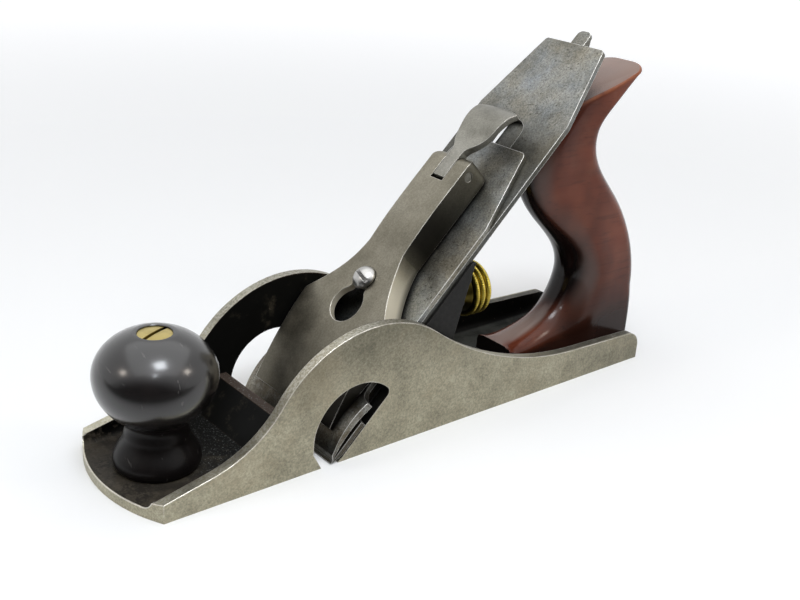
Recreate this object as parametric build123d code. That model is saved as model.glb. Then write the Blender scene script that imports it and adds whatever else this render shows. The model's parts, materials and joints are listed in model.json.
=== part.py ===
from build123d import *
import math
import os

os.makedirs("parts", exist_ok=True)

# Sizes are in millimetres and angles in degrees.
# +X points to the toe, +Y to the left side, +Z up; the sole lies in the plane Z = 0.

# Body casting
toe_reach = 115.0
heel_reach = 117.0
body_width = 54.0
side_wall = 3.6
floor_thickness = 3.4
floor_cove = 3.5
toe_bulge = 7.5
heel_bulge = 11.0
toe_rim_height = 6.3
toe_rim_slope = 13.0
heel_rim_height = 11.6
heel_rim_slope = 2.0
heel_corner_radius = 6.5
crest_x = 30.4
crest_height = 45.7
crest_radius = 43.5
front_sweep_radius = 40.0
rear_sweep_radius = 128.0

# Side openings, mouth and cross rib
opening_front = 54.4
opening_radius = 17.5
opening_centre_height = 9.2
opening_corner_radius = 2.2
mouth_tooth = 51.2
mouth_tooth_height = 6.0
mouth_setback = 0.3
rib_front_foot = 68.6
rib_top_front = 60.0
rib_top_rear = 56.4
rib_height = 14.5

# Bed and frog
bed_angle = 45.0
edge_x = 47.5
edge_height = 0.25
seat_height = 7.5
seat_rear = -4.0
frog_side_gap = 0.7
frog_plate = 5.0
frog_base = 3.5
frog_cheek = 4.5
frog_rear_foot = 0.2
frog_cheek_top = 57.4
frog_shoulder = 80.0
frog_top = 107.0
frog_tongue_width = 28.0
frog_travel = 1.5
frog_screw_x = 24.3
frog_screw_y = 12.2
frog_screw_radius = 2.5
frog_screw_head = 4.3
frog_screw_head_height = 3.0
washer_radius = 4.9
washer_thickness = 0.8

# Cutter: distances along the bed are measured from the cutting edge
iron_thickness = 2.0
iron_length = 174.6
iron_shoulder = 141.4
iron_top_width = 28.0
iron_flare = 17.0
iron_bevel = 4.3
cutter_side_gap = 0.1
shank_side_gap = 1.5
flare_fillet = 4.0
slot_half_width = 5.5
slot_top = 133.0
slot_bottom = 27.0
slot_bottom_radius = 7.4
cap_iron_thickness = 2.0
cap_iron_start = 1.2
cap_iron_end = 125.7
cap_iron_taper = 94.0
cap_iron_top_width = 30.6
cap_iron_flare = 23.0
hump_end = 26.0
hump_middle = 11.5
hump_lift = 1.95
cap_screw_a = 42.0
cap_screw_radius = 3.4
cap_screw_head = 7.0
cap_screw_head_height = 3.6
lay_gap = 0.03

# Lever cap, its screw and cam
lever_screw_a = 57.2
lever_screw_radius = 3.2
lever_screw_head = 4.4
lever_screw_head_height = 3.2
lever_screw_lift = 0.5
cap_lip = 9.0
cap_shoulder = 45.0
cap_side_gap = 1.2
cap_neck = 70.0
cap_neck_width = 18.4
cap_top = 112.0
cap_rim = 3.0
cap_roof = 2.6
cap_lip_face = 7.4
cap_face_height = 14.4
cap_top_face_height = 16.5
cap_side_foot = 5.2
keyhole_a = 46.6
keyhole_radius = 6.8
keyhole_gap = 0.4
cam_pivot_a = 106.0
cam_pivot_h = 13.0
cam_pin_radius = 1.6
cam_hub_radius = 5.6
cam_tongue = 5.5
cam_tongue_radius = 5.65
cam_slot_gap = 0.2
cam_slot_end = 100.0
paddle_width = 18.8
paddle_end = 136.2
paddle_thickness = 2.4
spring_thickness = 0.8
spring_width = 8.4
spring_start = 83.0
spring_end = 110.5
spring_rivet_a = 87.5
spring_rivet_radius = 1.3
spring_lift = 0.1

# Depth adjuster
stud_height = 36.2
stud_radius = 3.2
stud_end = -40.0
stud_boss_radius = 6.5
stud_boss_end = -14.0
stud_depth = 9.0
nut_front = -18.8
nut_flange = 1.8
nut_flange_radius = 7.6
nut_groove = 4.6
nut_groove_radius = 5.0
nut_wheel = 11.6
nut_wheel_radius = 10.3
nut_valley = 0.9
nut_hub = 2.2
nut_hub_radius = 6.2
yoke_pivot_a = 84.0
yoke_pivot_h = -11.0
yoke_pin_radius = 1.6
yoke_hub_radius = 3.8
yoke_finger_a = 76.0
yoke_finger = 4.6
yoke_finger_width = 8.0
yoke_fork = 2.4
yoke_fork_width = 17.0
yoke_fork_foot = 34.0
yoke_fork_top = 45.2
yoke_side_gap = 0.4
ear_thickness = 4.0
ear_radius = 4.5

# Lateral lever
lateral_thickness = 1.6
lateral_depth = 0.3
lateral_width = 9.0
lateral_pivot_a = 100.0
lateral_pin_radius = 2.5
lateral_disc_a = 88.0
lateral_end_radius = 5.5
lateral_disc_gap = 0.3
lateral_rivet_radius = 2.0
lateral_top = 182.2
lateral_fold = 1.8
lateral_tab = 12.0
lateral_tab_depth = 5.0

# Front knob and rear handle
knob_setback = 19.8
knob_base_radius = 13.5
knob_waist_radius = 11.0
knob_waist_height = 14.0
knob_radius = 19.2
knob_belly_height = 34.3
knob_half_height = 14.8
knob_lower_half = 17.0
knob_flat = 0.9
knob_neck_top = 12.6
boss_radius = 5.0
boss_height = 3.0
rod_radius = 2.8
nut_head_radius = 5.35
nut_head_height = 3.0
nut_barrel_radius = 4.3
nut_barrel = 7.0
nut_proud = -0.1
nut_dome = 0.3
tote_thickness = 24.0
tote_round = 6.0
tote_top_angle = 20.0
tote_nut_setback = 12.0
tote_foot_x = -104.0
tote_iron_gap = 5.5
tote_top_length = 37.9
tote_horn_height = 113.9
tote_heel = -116.8
tote_toe = -50.4
tote_toe_width = 18.8
tote_toe_height = 6.5
tote_toe_round = 4.2
tote_toe_meets = 0.2634
tote_horn_round = 1.6
tote_horn_drop = 2.2
tote_horn_sweep = 14.0

# Fits
pin_gap = 0.02
turn_gap = 0.05
free_gap = 0.3

# Derived places
body_length = toe_reach + heel_reach
half_width = body_width / 2
inner_half = half_width - side_wall
cap_width = 2 * (inner_half - cap_side_gap)
toe_corner = toe_reach - toe_bulge
heel_corner = heel_bulge - heel_reach
sine = math.sin(math.radians(bed_angle))
cosine = math.cos(math.radians(bed_angle))
bed = Plane(
    origin=(edge_x - iron_thickness * sine, 0, edge_height - iron_thickness * cosine),
    x_dir=(-cosine, 0, sine),
    z_dir=(sine, 0, cosine),
).location
bed_level = edge_x * sine + edge_height * cosine - iron_thickness
frog_half = inner_half - frog_side_gap
cutter_half = half_width - cutter_side_gap
shank_half = inner_half - shank_side_gap
cap_iron_back = iron_thickness + lay_gap
cap_iron_face = cap_iron_back + cap_iron_thickness
hump_arc = ThreePointArc(
    (hump_end, cap_iron_face),
    (hump_middle, cap_iron_face + hump_lift),
    (cap_iron_start + 1.4, cap_iron_back + 1.6),
)
hump_top = hump_arc.bounding_box().max.Y
screw_seat = seat_height + frog_base + washer_thickness
knob_foot = floor_thickness
knob_x = toe_reach - knob_setback
knob_height = knob_belly_height + knob_half_height - knob_flat
knob_head_seat = knob_height + nut_proud - nut_head_height
cap_prong_round = cap_top_face_height - 4.5
cap_slot_wall = cam_slot_end - 4.0
spring_low = cap_iron_face + spring_lift
spring_top = spring_low + spring_thickness
spring_rivet_top = cap_top_face_height - 4.0
cam_centre_h = spring_top + spring_lift + cam_hub_radius
fork_x = nut_front - nut_flange - nut_groove / 2
tote_top_slope = math.tan(math.radians(tote_top_angle))
tote_front_height = tote_horn_height - tote_top_length * tote_top_slope
tote_front_x = (bed_level - tote_iron_gap - tote_front_height * cosine) / sine
tote_horn_x = tote_front_x - tote_top_length
tote_nut_x = tote_front_x - tote_nut_setback
tote_nut_height = tote_horn_height - (tote_nut_x - tote_horn_x) * tote_top_slope
rod_rise = tote_nut_height - floor_thickness
rod_run = tote_nut_x - tote_foot_x
rod_reach = math.hypot(rod_rise, rod_run)
tote_axis = Plane(
    origin=(tote_foot_x, 0, floor_thickness),
    x_dir=(rod_rise, 0, -rod_run),
    z_dir=(rod_run, 0, rod_rise),
).location
tote_nut_seat = rod_reach + nut_proud - nut_head_height
rod_bottom = -floor_thickness / 2


def bed_x(height, lift=0.0):
    """The x where the plane `lift` above the bed crosses the given height."""
    return (bed_level + lift - height * cosine) / sine


def bed_point(along, lift):
    """The (x, z) of the point `along` up the bed and `lift` above it."""
    spot = (bed * Pos(along, 0, lift)).position
    return spot.X, spot.Z


def outline(*points):
    """A flat face with straight sides through the points."""
    return make_face(Polyline(*points, close=True))


def side_prism(face, y_low, y_high):
    """A face drawn in side view (x, z), carried from y_low to y_high."""
    return Pos(0, y_high, 0) * extrude(Plane.XZ * face, y_high - y_low)


def both_sides(face, y_low, y_high):
    """The side-view face as a pair of prisms, left and right."""
    return side_prism(face, y_low, y_high) + side_prism(face, -y_high, -y_low)


def block(x_low, x_high, y_low, y_high, z_low, z_high):
    """A box between the given limits."""
    middle = Pos((x_low + x_high) / 2, (y_low + y_high) / 2, (z_low + z_high) / 2)
    return middle * Box(x_high - x_low, y_high - y_low, z_high - z_low)


def post(x, y, radius, z_low, z_high):
    """A cylinder along Z between two heights."""
    return Pos(x, y, (z_low + z_high) / 2) * Cylinder(radius, z_high - z_low)


def long_hole(x_low, x_high, y, radius, z_low, z_high):
    """A round-ended bar along X, upright, with its end centres at x_low and x_high."""
    slot = SlotCenterToCenter(x_high - x_low, 2 * radius)
    return Pos((x_low + x_high) / 2, y, z_low) * extrude(slot, z_high - z_low)


def cross_pin(x, z, radius, y_low, y_high):
    """A cylinder along Y."""
    return Pos(x, (y_low + y_high) / 2, z) * Rot(90, 0, 0) * Cylinder(radius, y_high - y_low)


def rounded(face, places, radius):
    """The face with its corners at the given places rounded."""
    corners = []
    for corner in face.vertices():
        for place in places:
            if abs(corner.X - place[0]) + abs(corner.Y - place[1]) < 0.01:
                corners.append(corner)
    return fillet(corners, radius)


def mirrored(half_points):
    """A closed outline from the points of its +Y half, taken in order along X."""
    other_half = [(x, -y) for x, y in reversed(half_points)]
    return outline(*half_points, *other_half)


def sweep_arc(foot, slope, radius, forward):
    """The hollow arc between a straight rim through `foot` and the crest arc, as three points."""
    along = Vector(math.cos(math.radians(slope)), math.sin(math.radians(slope)))
    above = Vector(-along.Y, along.X)
    crest = Vector(crest_x, crest_height - crest_radius)
    offset_line = Vector(*foot) + above * radius - crest
    middle = offset_line.dot(along)
    reach = math.sqrt(middle**2 - offset_line.length**2 + (crest_radius + radius) ** 2)
    step = reach - middle if forward else -reach - middle
    centre = crest + offset_line + along * step
    rim_end = centre - above * radius
    crest_end = crest + (centre - crest) * (crest_radius / (crest_radius + radius))
    bisector = ((rim_end - centre) + (crest_end - centre)).normalized()
    return rim_end, centre + bisector * radius, crest_end


def wall_face():
    """Side view of a wall: heel rim, rear sweep, crest, front sweep and toe rim, all tangent."""
    heel_top = (heel_corner, heel_rim_height)
    toe_drop = toe_bulge * math.tan(math.radians(toe_rim_slope))
    toe_tip = (toe_reach, toe_rim_height - toe_drop)
    rear = sweep_arc(heel_top, heel_rim_slope, rear_sweep_radius, False)
    front = sweep_arc((toe_corner, toe_rim_height), -toe_rim_slope, front_sweep_radius, True)
    face = make_face(
        [
            Line((heel_corner, 0), heel_top),
            Line(heel_top, rear[0]),
            ThreePointArc(*rear),
            ThreePointArc(rear[2], (crest_x, crest_height), front[2]),
            ThreePointArc(*reversed(front)),
            Line(front[0], toe_tip),
            Line(toe_tip, (toe_reach, 0)),
            Line((toe_reach, 0), (heel_corner, 0)),
        ]
    )
    return rounded(face, [heel_top], heel_corner_radius)


def plan_face():
    """Plan view of the body: straight sides with a bowed toe and heel."""
    return make_face(
        [
            Line((heel_corner, half_width), (toe_corner, half_width)),
            ThreePointArc((toe_corner, half_width), (toe_reach, 0), (toe_corner, -half_width)),
            Line((toe_corner, -half_width), (heel_corner, -half_width)),
            ThreePointArc((heel_corner, -half_width), (-heel_reach, 0), (heel_corner, half_width)),
        ]
    )


def opening_face():
    """Side view of the throat and mouth: bed line behind, arc above, tooth in front."""
    centre_x = opening_front - opening_radius
    level = bed_level - mouth_setback - centre_x * sine - opening_centre_height * cosine
    chord = math.sqrt(opening_radius**2 - level**2)
    corner = (
        centre_x + level * sine - chord * cosine,
        opening_centre_height + level * cosine + chord * sine,
    )
    top_angle = math.radians(60)
    top = (
        centre_x + opening_radius * math.cos(top_angle),
        opening_centre_height + opening_radius * math.sin(top_angle),
    )
    front = (opening_front, opening_centre_height)
    lip = (opening_front, mouth_tooth_height)
    below = floor_thickness
    drop = (opening_front - mouth_tooth) / mouth_tooth_height
    tooth = (mouth_tooth - drop * below, -below)
    rear = (bed_x(-below, -mouth_setback), -below)
    face = make_face(
        [
            Line(rear, tooth),
            Line(tooth, lip),
            Line(lip, front),
            ThreePointArc(front, top, corner),
            Line(corner, rear),
        ]
    )
    return rounded(face, [corner], opening_corner_radius)


def make_coves():
    """Hollow corners between the floor and the walls, behind the frog seat and ahead of the rib."""
    low = floor_thickness / 2
    side = inner_half - floor_cove
    high = floor_thickness + floor_cove
    coves = block(heel_corner, seat_rear, side, inner_half, low, high)
    coves += block(rib_front_foot, toe_reach, side, inner_half, low, high)
    coves &= side_prism(wall_face(), side, inner_half)
    coves &= extrude(plan_face(), high)
    coves -= Pos(0, side, high) * Rot(0, 90, 0) * Cylinder(floor_cove, 2 * body_length)
    return coves + mirror(coves, Plane.XZ)


def make_casting():
    """Body casting with walls, coves, rib, frog seat, bosses and the split mouth."""
    plan = plan_face()
    casting = extrude(plan, floor_thickness)
    walls = both_sides(wall_face(), inner_half, half_width) & extrude(plan, crest_height + 1)
    casting += walls
    casting += make_coves()
    low = floor_thickness / 2
    rib = outline(
        (opening_front, low),
        (opening_front, opening_centre_height),
        (rib_top_rear, rib_height),
        (rib_top_front, rib_height),
        (rib_front_foot, floor_thickness),
        (rib_front_foot, low),
    )
    casting += side_prism(rib, -inner_half, inner_half)
    seat = outline(
        (seat_rear, low),
        (seat_rear, seat_height),
        (bed_x(seat_height, -mouth_setback), seat_height),
        (bed_x(low, -mouth_setback), low),
    )
    casting += side_prism(seat, -inner_half, inner_half)
    casting += post(knob_x, 0, boss_radius, low, floor_thickness + boss_height)
    casting += post(tote_foot_x, 0, boss_radius, low, floor_thickness + boss_height)
    casting -= side_prism(opening_face(), -body_width, body_width)
    casting -= post(knob_x, 0, rod_radius + pin_gap, low, 2 * boss_height + floor_thickness)
    casting -= rod_bar(rod_radius + pin_gap, rod_bottom, rod_reach)
    for side in (-frog_screw_y, frog_screw_y):
        casting -= post(frog_screw_x, side, frog_screw_radius + pin_gap, low, 2 * seat_height)
    return casting


def make_frog():
    """Frog: bed plate with a narrower tongue, two cheeks, base, stud boss and yoke ears."""
    half_tongue = frog_tongue_width / 2
    plate = mirrored(
        [
            (0, frog_half),
            (frog_shoulder, frog_half),
            (frog_shoulder, half_tongue),
            (frog_top, half_tongue),
        ]
    )
    plate = rounded(plate, [(frog_top, half_tongue), (frog_top, -half_tongue)], 5.0)
    plate = rounded(plate, [(frog_shoulder, frog_half), (frog_shoulder, -frog_half)], 3.0)
    frog = bed * Pos(0, 0, -frog_plate) * extrude(plate, frog_plate)
    cheek_tip = bed_x(frog_cheek_top)
    cheek = outline(
        (frog_rear_foot, seat_height),
        (bed_x(seat_height), seat_height),
        (cheek_tip, frog_cheek_top),
        (cheek_tip - 1.5, frog_cheek_top),
    )
    frog += both_sides(cheek, frog_half - frog_cheek, frog_half)
    base_top = seat_height + frog_base
    base = outline(
        (frog_rear_foot, seat_height),
        (bed_x(seat_height), seat_height),
        (bed_x(base_top), base_top),
        (frog_rear_foot, base_top),
    )
    frog += side_prism(base, -frog_half, frog_half)
    boss_front = bed_x(stud_height, -frog_plate / 2)
    boss_length = boss_front - stud_boss_end
    boss = Pos(stud_boss_end + boss_length / 2, 0, stud_height) * Rot(0, 90, 0)
    frog += boss * Cylinder(stud_boss_radius, boss_length)
    web = outline(
        (frog_rear_foot + 2, seat_height),
        (bed_x(base_top, -frog_plate), seat_height),
        (bed_x(stud_height, -frog_plate / 2), stud_height),
        (stud_boss_end + 2, stud_height),
    )
    frog += side_prism(web, -frog_cheek, frog_cheek)
    ear_inner = yoke_finger_width / 2 + yoke_side_gap
    ear = outline(
        (yoke_pivot_a - ear_radius, -frog_plate / 2),
        (yoke_pivot_a + ear_radius, -frog_plate / 2),
        (yoke_pivot_a + ear_radius, yoke_pivot_h),
        (yoke_pivot_a - ear_radius, yoke_pivot_h),
    )
    ear_outer = ear_inner + ear_thickness
    ears = both_sides(ear, ear_inner, ear_outer)
    ears += cross_pin(yoke_pivot_a, yoke_pivot_h, ear_radius, ear_inner, ear_outer)
    ears += cross_pin(yoke_pivot_a, yoke_pivot_h, ear_radius, -ear_outer, -ear_inner)
    frog += bed * ears
    frog -= block(-body_length, body_length, -body_width, body_width, -body_length, seat_height)
    frog -= bed * block(-body_length, body_length, -body_width, body_width, 0, body_length)
    deep = 4 * frog_plate
    holes = cross_pin(yoke_pivot_a, yoke_pivot_h, yoke_pin_radius + pin_gap, -body_width, body_width)
    holes += post(lever_screw_a, 0, lever_screw_radius + pin_gap, -deep, 1)
    holes += post(cap_screw_a, 0, cap_screw_head + 5 * free_gap, -frog_plate - 1, 1)
    finger_room = yoke_finger / 2 + 4 * free_gap
    finger_side = yoke_finger_width / 2 + 4 * free_gap
    finger_low = yoke_finger_a - finger_room
    finger_high = yoke_finger_a + finger_room
    holes += block(finger_low, finger_high, -finger_side, finger_side, -2 * frog_plate, 1)
    recess_depth = lateral_thickness + lateral_depth + free_gap
    recess_side = lateral_end_radius + 6 * free_gap
    recess_low = lateral_disc_a - lateral_end_radius - 4 * free_gap
    holes += block(recess_low, frog_top + 1, -recess_side, recess_side, -recess_depth, 1)
    holes += post(lateral_pivot_a, 0, lateral_pin_radius + pin_gap, -deep, 1)
    frog -= bed * holes
    stud_hole = Pos(stud_boss_end, 0, stud_height) * Rot(0, 90, 0)
    frog -= stud_hole * Cylinder(stud_radius + pin_gap, 2 * stud_depth)
    access = washer_radius + free_gap
    for side in (-frog_screw_y, frog_screw_y):
        slot_rear = frog_screw_x - frog_travel
        frog -= long_hole(slot_rear, frog_screw_x, side, frog_screw_radius + free_gap, 0, base_top)
        frog -= long_hole(slot_rear, frog_screw_x, side, access, base_top, crest_height)
    return frog


def make_plane_iron():
    """Cutter: flared lower end with a bevel, straight shank, tapered top and a keyed slot."""
    half_top = iron_top_width / 2
    flare_foot = iron_flare + 1.5
    face = mirrored(
        [
            (0, cutter_half),
            (iron_flare, cutter_half),
            (flare_foot, shank_half),
            (iron_shoulder, shank_half),
            (iron_length, half_top),
        ]
    )
    face = rounded(face, [(flare_foot, shank_half), (flare_foot, -shank_half)], flare_fillet)
    face = rounded(face, [(iron_length, half_top), (iron_length, -half_top)], 1.5)
    iron = extrude(face, iron_thickness)
    bevel = outline(
        (-1, -1),
        (-1, iron_thickness),
        (0, iron_thickness),
        (iron_bevel, 0),
        (iron_bevel, -1),
    )
    iron -= side_prism(bevel, -body_width, body_width)
    iron -= long_hole(slot_bottom, slot_top, 0, slot_half_width, -1, iron_thickness + 1)
    iron -= post(slot_bottom, 0, slot_bottom_radius, -1, iron_thickness + 1)
    return bed * iron


def make_cap_iron():
    """Cap iron: humped lower end of full width, flat shank, tapered top, three holes."""
    half_top = cap_iron_top_width / 2
    flare_foot = cap_iron_flare + 1.5
    profile = make_face(
        [
            ThreePointArc(
                (cap_iron_start, cap_iron_back),
                (hump_middle, cap_iron_back + hump_lift - 0.3),
                (hump_end - 2, cap_iron_back),
            ),
            Line((hump_end - 2, cap_iron_back), (cap_iron_end, cap_iron_back)),
            Line((cap_iron_end, cap_iron_back), (cap_iron_end, cap_iron_face)),
            Line((cap_iron_end, cap_iron_face), (hump_end, cap_iron_face)),
            hump_arc,
            Line((cap_iron_start + 1.4, cap_iron_back + 1.6), (cap_iron_start, cap_iron_back)),
        ]
    )
    face = mirrored(
        [
            (0, cutter_half),
            (cap_iron_flare, cutter_half),
            (flare_foot, shank_half),
            (cap_iron_taper, shank_half),
            (cap_iron_end, half_top),
        ]
    )
    face = rounded(face, [(flare_foot, shank_half), (flare_foot, -shank_half)], flare_fillet)
    face = rounded(face, [(cap_iron_end, half_top), (cap_iron_end, -half_top)], 2.0)
    cap_iron = side_prism(profile, -half_width, half_width) & extrude(face, hump_top + 1)
    high = hump_top + 1
    cap_iron -= post(cap_screw_a, 0, cap_screw_radius + turn_gap, 0, high)
    cap_iron -= long_hole(lever_screw_a - 2, lever_screw_a + 2, 0, lever_screw_radius + 6 * free_gap, 0, high)
    finger_room = yoke_finger / 2 + free_gap
    finger_side = yoke_finger_width / 2 + 6 * free_gap
    cap_iron -= block(
        yoke_finger_a - finger_room, yoke_finger_a + finger_room, -finger_side, finger_side, 0, high
    )
    return bed * cap_iron


def cap_front(depth):
    """Side view of the lever cap's face from the top to the lip, `depth` below the surface."""
    shoulder = (cap_shoulder, cap_face_height - depth)
    apron_middle = (cap_lip + cap_shoulder) / 2
    apron_level = (cap_lip_face + cap_face_height) / 2 + 1.3
    rise = cap_top_face_height - cap_face_height
    neck = Spline(
        (cap_top - 4, cap_top_face_height - depth),
        (cap_neck + 10, cap_face_height + 0.90 * rise - depth),
        (cap_neck, cap_face_height + 0.52 * rise - depth),
        (cap_neck - 8, cap_face_height + 0.16 * rise - depth),
        shoulder,
        tangents=[(-1, 0), (-1, -0.05)],
    )
    apron = ThreePointArc(shoulder, (apron_middle, apron_level - depth), (cap_lip, cap_lip_face - depth))
    return neck, apron


def make_lever_cap():
    """Lever cap: thin lip, broad apron, S-shouldered neck, keyhole, hollow back and forked top."""
    half_cap = cap_width / 2
    half_neck = cap_neck_width / 2
    reach = cap_neck - cap_shoulder
    drop = half_cap - half_neck
    middle = (cap_shoulder + 0.46 * reach, half_cap - 0.63 * drop)
    neck_foot = (cap_neck, half_neck)
    edges = []
    for side in (1, -1):
        edges.append(Line((cap_lip, side * half_cap), (cap_shoulder, side * half_cap)))
        edges.append(
            ThreePointArc(
                (cap_shoulder, side * half_cap),
                (middle[0], side * middle[1]),
                (neck_foot[0], side * neck_foot[1]),
            )
        )
        edges.append(Line((neck_foot[0], side * neck_foot[1]), (cap_top, side * half_neck)))
    edges.append(Line((cap_lip, half_cap), (cap_lip, -half_cap)))
    edges.append(Line((cap_top, half_neck), (cap_top, -half_neck)))
    face = make_face(edges)
    face = rounded(face, [(cap_shoulder, half_cap), (cap_shoulder, -half_cap)], 4.0)
    face = rounded(face, [(cap_top, half_neck), (cap_top, -half_neck)], 4.0)
    lip_under = hump_top + lay_gap
    profile = make_face(
        [
            Line((cap_lip, lip_under), (cap_lip + 9, lip_under)),
            Line((cap_lip + 9, lip_under), (hump_end + 4, cap_side_foot)),
            Line((hump_end + 4, cap_side_foot), (cap_top, cap_side_foot)),
            Line((cap_top, cap_side_foot), (cap_top, cap_prong_round)),
            ThreePointArc(
                (cap_top, cap_prong_round),
                (cap_top - 1.3, cap_top_face_height - 1.3),
                (cap_top - 4, cap_top_face_height),
            ),
            *cap_front(0.0),
            Line((cap_lip, cap_lip_face), (cap_lip, lip_under)),
        ]
    )
    cap = side_prism(profile, -half_cap, half_cap) & extrude(face, cap_top_face_height + 1)
    hollow_low = cap_lip + 9
    hollow_room = Pos((hollow_low + cap_slot_wall) / 2, 0) * Rectangle(cap_slot_wall - hollow_low, body_width)
    hollow_face = offset(face, -cap_rim) & hollow_room
    hollow_profile = make_face(
        [
            Line((cap_lip, 0), (cap_top - 4, 0)),
            Line((cap_top - 4, 0), (cap_top - 4, cap_top_face_height - cap_roof)),
            *cap_front(cap_roof),
            Line((cap_lip, cap_lip_face - cap_roof), (cap_lip, 0)),
        ]
    )
    cap -= side_prism(hollow_profile, -half_cap, half_cap) & extrude(hollow_face, cap_top_face_height)
    pad_half = spring_width / 2
    cap += block(spring_start, spring_rivet_a + 4, -pad_half, pad_half, spring_top, cap_top_face_height - 1)
    keyhole = Pos(keyhole_a, 0) * Circle(keyhole_radius)
    slot_radius = lever_screw_radius + keyhole_gap
    keyhole_slot = SlotCenterToCenter(lever_screw_a - keyhole_a, 2 * slot_radius)
    keyhole += Pos((keyhole_a + lever_screw_a) / 2, 0) * keyhole_slot
    inner_corners = [corner for corner in keyhole.vertices() if abs(abs(corner.Y) - slot_radius) < 0.01]
    inner_corners = [corner for corner in inner_corners if corner.X < lever_screw_a - 1]
    keyhole = fillet(inner_corners, 3.0)
    cap -= extrude(keyhole, cap_top_face_height + 1)
    slot_half = cam_tongue / 2 + cam_slot_gap
    cap -= block(cam_slot_end, cap_top + 1, -slot_half, slot_half, 0, cap_top_face_height + 1)
    cap -= cross_pin(cam_pivot_a, cam_pivot_h, cam_pin_radius + pin_gap, -body_width, body_width)
    cap -= post(spring_rivet_a, 0, spring_rivet_radius + pin_gap, 0, spring_rivet_top)
    return bed * cap


def make_cam_lever():
    """Cam lever: narrow tongue and round cam between the prongs, then a curled thumb paddle."""
    tongue_half = cam_tongue / 2
    front = cap_top_face_height
    cam = cross_pin(cam_pivot_a, cam_centre_h, cam_hub_radius, -tongue_half, tongue_half)
    tongue = cross_pin(cam_pivot_a, cam_pivot_h, cam_tongue_radius, -tongue_half, tongue_half)
    cam += tongue & block(0, 2 * cap_top, -body_width, body_width, cam_pivot_h, front)
    root = cam_pivot_a + cam_hub_radius - 2
    reach = paddle_end - root
    curl = paddle_end - 1.4
    back = front - paddle_thickness
    band = make_face(
        [
            Spline(
                (root, front),
                (root + 0.20 * reach, front - 0.4),
                (root + 0.40 * reach, front - 1.2),
                (root + 0.66 * reach, front - 1.1),
                (root + 0.85 * reach, front - 2.5),
                (paddle_end, front - 6.0),
            ),
            Line((paddle_end, front - 6.0), (curl, front - 6.8)),
            Spline(
                (curl, front - 6.8),
                (root + 0.80 * reach, back - 1.9),
                (root + 0.64 * reach, back - 0.9),
                (root + 0.40 * reach, back - 1.0),
                (root + 0.20 * reach, back - 0.8),
                (root, back - 1.0),
            ),
            Line((root, back - 1.0), (root, front)),
        ]
    )
    paddle_half = paddle_width / 2
    neck_end = cap_top + 0.8
    swell = paddle_half - tongue_half
    span = paddle_end - 2 - neck_end
    edges = []
    for side in (1, -1):
        edges.append(Line((root, side * tongue_half), (neck_end, side * tongue_half)))
        edges.append(
            Spline(
                (neck_end, side * tongue_half),
                (neck_end + 0.17 * span, side * (tongue_half + 0.36 * swell)),
                (neck_end + 0.36 * span, side * (tongue_half + 0.68 * swell)),
                (neck_end + 0.67 * span, side * (tongue_half + 0.87 * swell)),
                (paddle_end - 2, side * paddle_half),
                tangents=[(1, side * 0.3), (1, side * 0.12)],
            )
        )
    edges.append(Line((root, tongue_half), (root, -tongue_half)))
    corner = paddle_end - 2
    edges.append(ThreePointArc((corner, paddle_half), (paddle_end, 0), (corner, -paddle_half)))
    plan = make_face(edges)
    cam += side_prism(band, -paddle_half, paddle_half) & extrude(plan, 2 * front)
    cam -= cross_pin(cam_pivot_a, cam_pivot_h, cam_pin_radius + turn_gap, -body_width, body_width)
    return bed * cam


def make_yoke():
    """Yoke: finger through the frog, pivot hub, neck and a fork that straddles the nut's groove."""
    finger_half = yoke_finger_width / 2
    finger_low = yoke_finger_a - yoke_finger / 2
    finger_high = yoke_finger_a + yoke_finger / 2
    link_top = yoke_pivot_h + 2
    link_low = yoke_pivot_h - 2
    body = outline(
        (finger_low, link_low),
        (yoke_pivot_a, link_low),
        (yoke_pivot_a, link_top),
        (finger_high, link_top),
        (finger_high, cap_iron_face - 0.3),
        (finger_low, cap_iron_face - 0.3),
    )
    yoke = side_prism(body, -finger_half, finger_half)
    yoke += cross_pin(yoke_pivot_a, yoke_pivot_h, yoke_hub_radius, -finger_half, finger_half)
    yoke = bed * yoke
    hub_z = bed_point(yoke_pivot_a, yoke_pivot_h)[1]
    fork_front = fork_x + yoke_fork / 2
    fork_rear = fork_x - yoke_fork / 2
    fork_half = yoke_fork_width / 2
    yoke += block(fork_rear, fork_front, -finger_half, finger_half, yoke_fork_top - 1, hub_z)
    fork = block(fork_rear, fork_front, -fork_half, fork_half, yoke_fork_foot, yoke_fork_top)
    straddle = nut_groove_radius + yoke_side_gap
    fork -= block(fork_rear - 1, fork_front + 1, -straddle, straddle, 0, stud_height)
    fork -= Pos(fork_x, 0, stud_height) * Rot(0, 90, 0) * Cylinder(straddle, 2 * yoke_fork)
    yoke += fork
    yoke -= bed * cross_pin(yoke_pivot_a, yoke_pivot_h, yoke_pin_radius + turn_gap, -body_width, body_width)
    return yoke


def make_adjuster_nut():
    """Depth nut: front flange, fork groove, a wheel with three ridges and a rear hub."""
    bore = stud_radius + turn_gap
    groove_front = nut_front - nut_flange
    wheel_front = groove_front - nut_groove
    ridge = nut_wheel / 5
    points = [(nut_front, bore), (nut_front, nut_flange_radius), (groove_front, nut_flange_radius)]
    points += [(groove_front, nut_groove_radius), (wheel_front, nut_groove_radius)]
    for step in range(5):
        radius = nut_wheel_radius if step % 2 == 0 else nut_wheel_radius - nut_valley
        points.append((wheel_front - step * ridge, radius))
        points.append((wheel_front - (step + 1) * ridge, radius))
    wheel_rear = wheel_front - nut_wheel
    hub_rear = wheel_rear - nut_hub
    points += [(wheel_rear, nut_hub_radius), (hub_rear, nut_hub_radius), (hub_rear, bore)]
    return Pos(0, 0, stud_height) * revolve(Plane.XZ * outline(*points), Axis.X)


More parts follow.
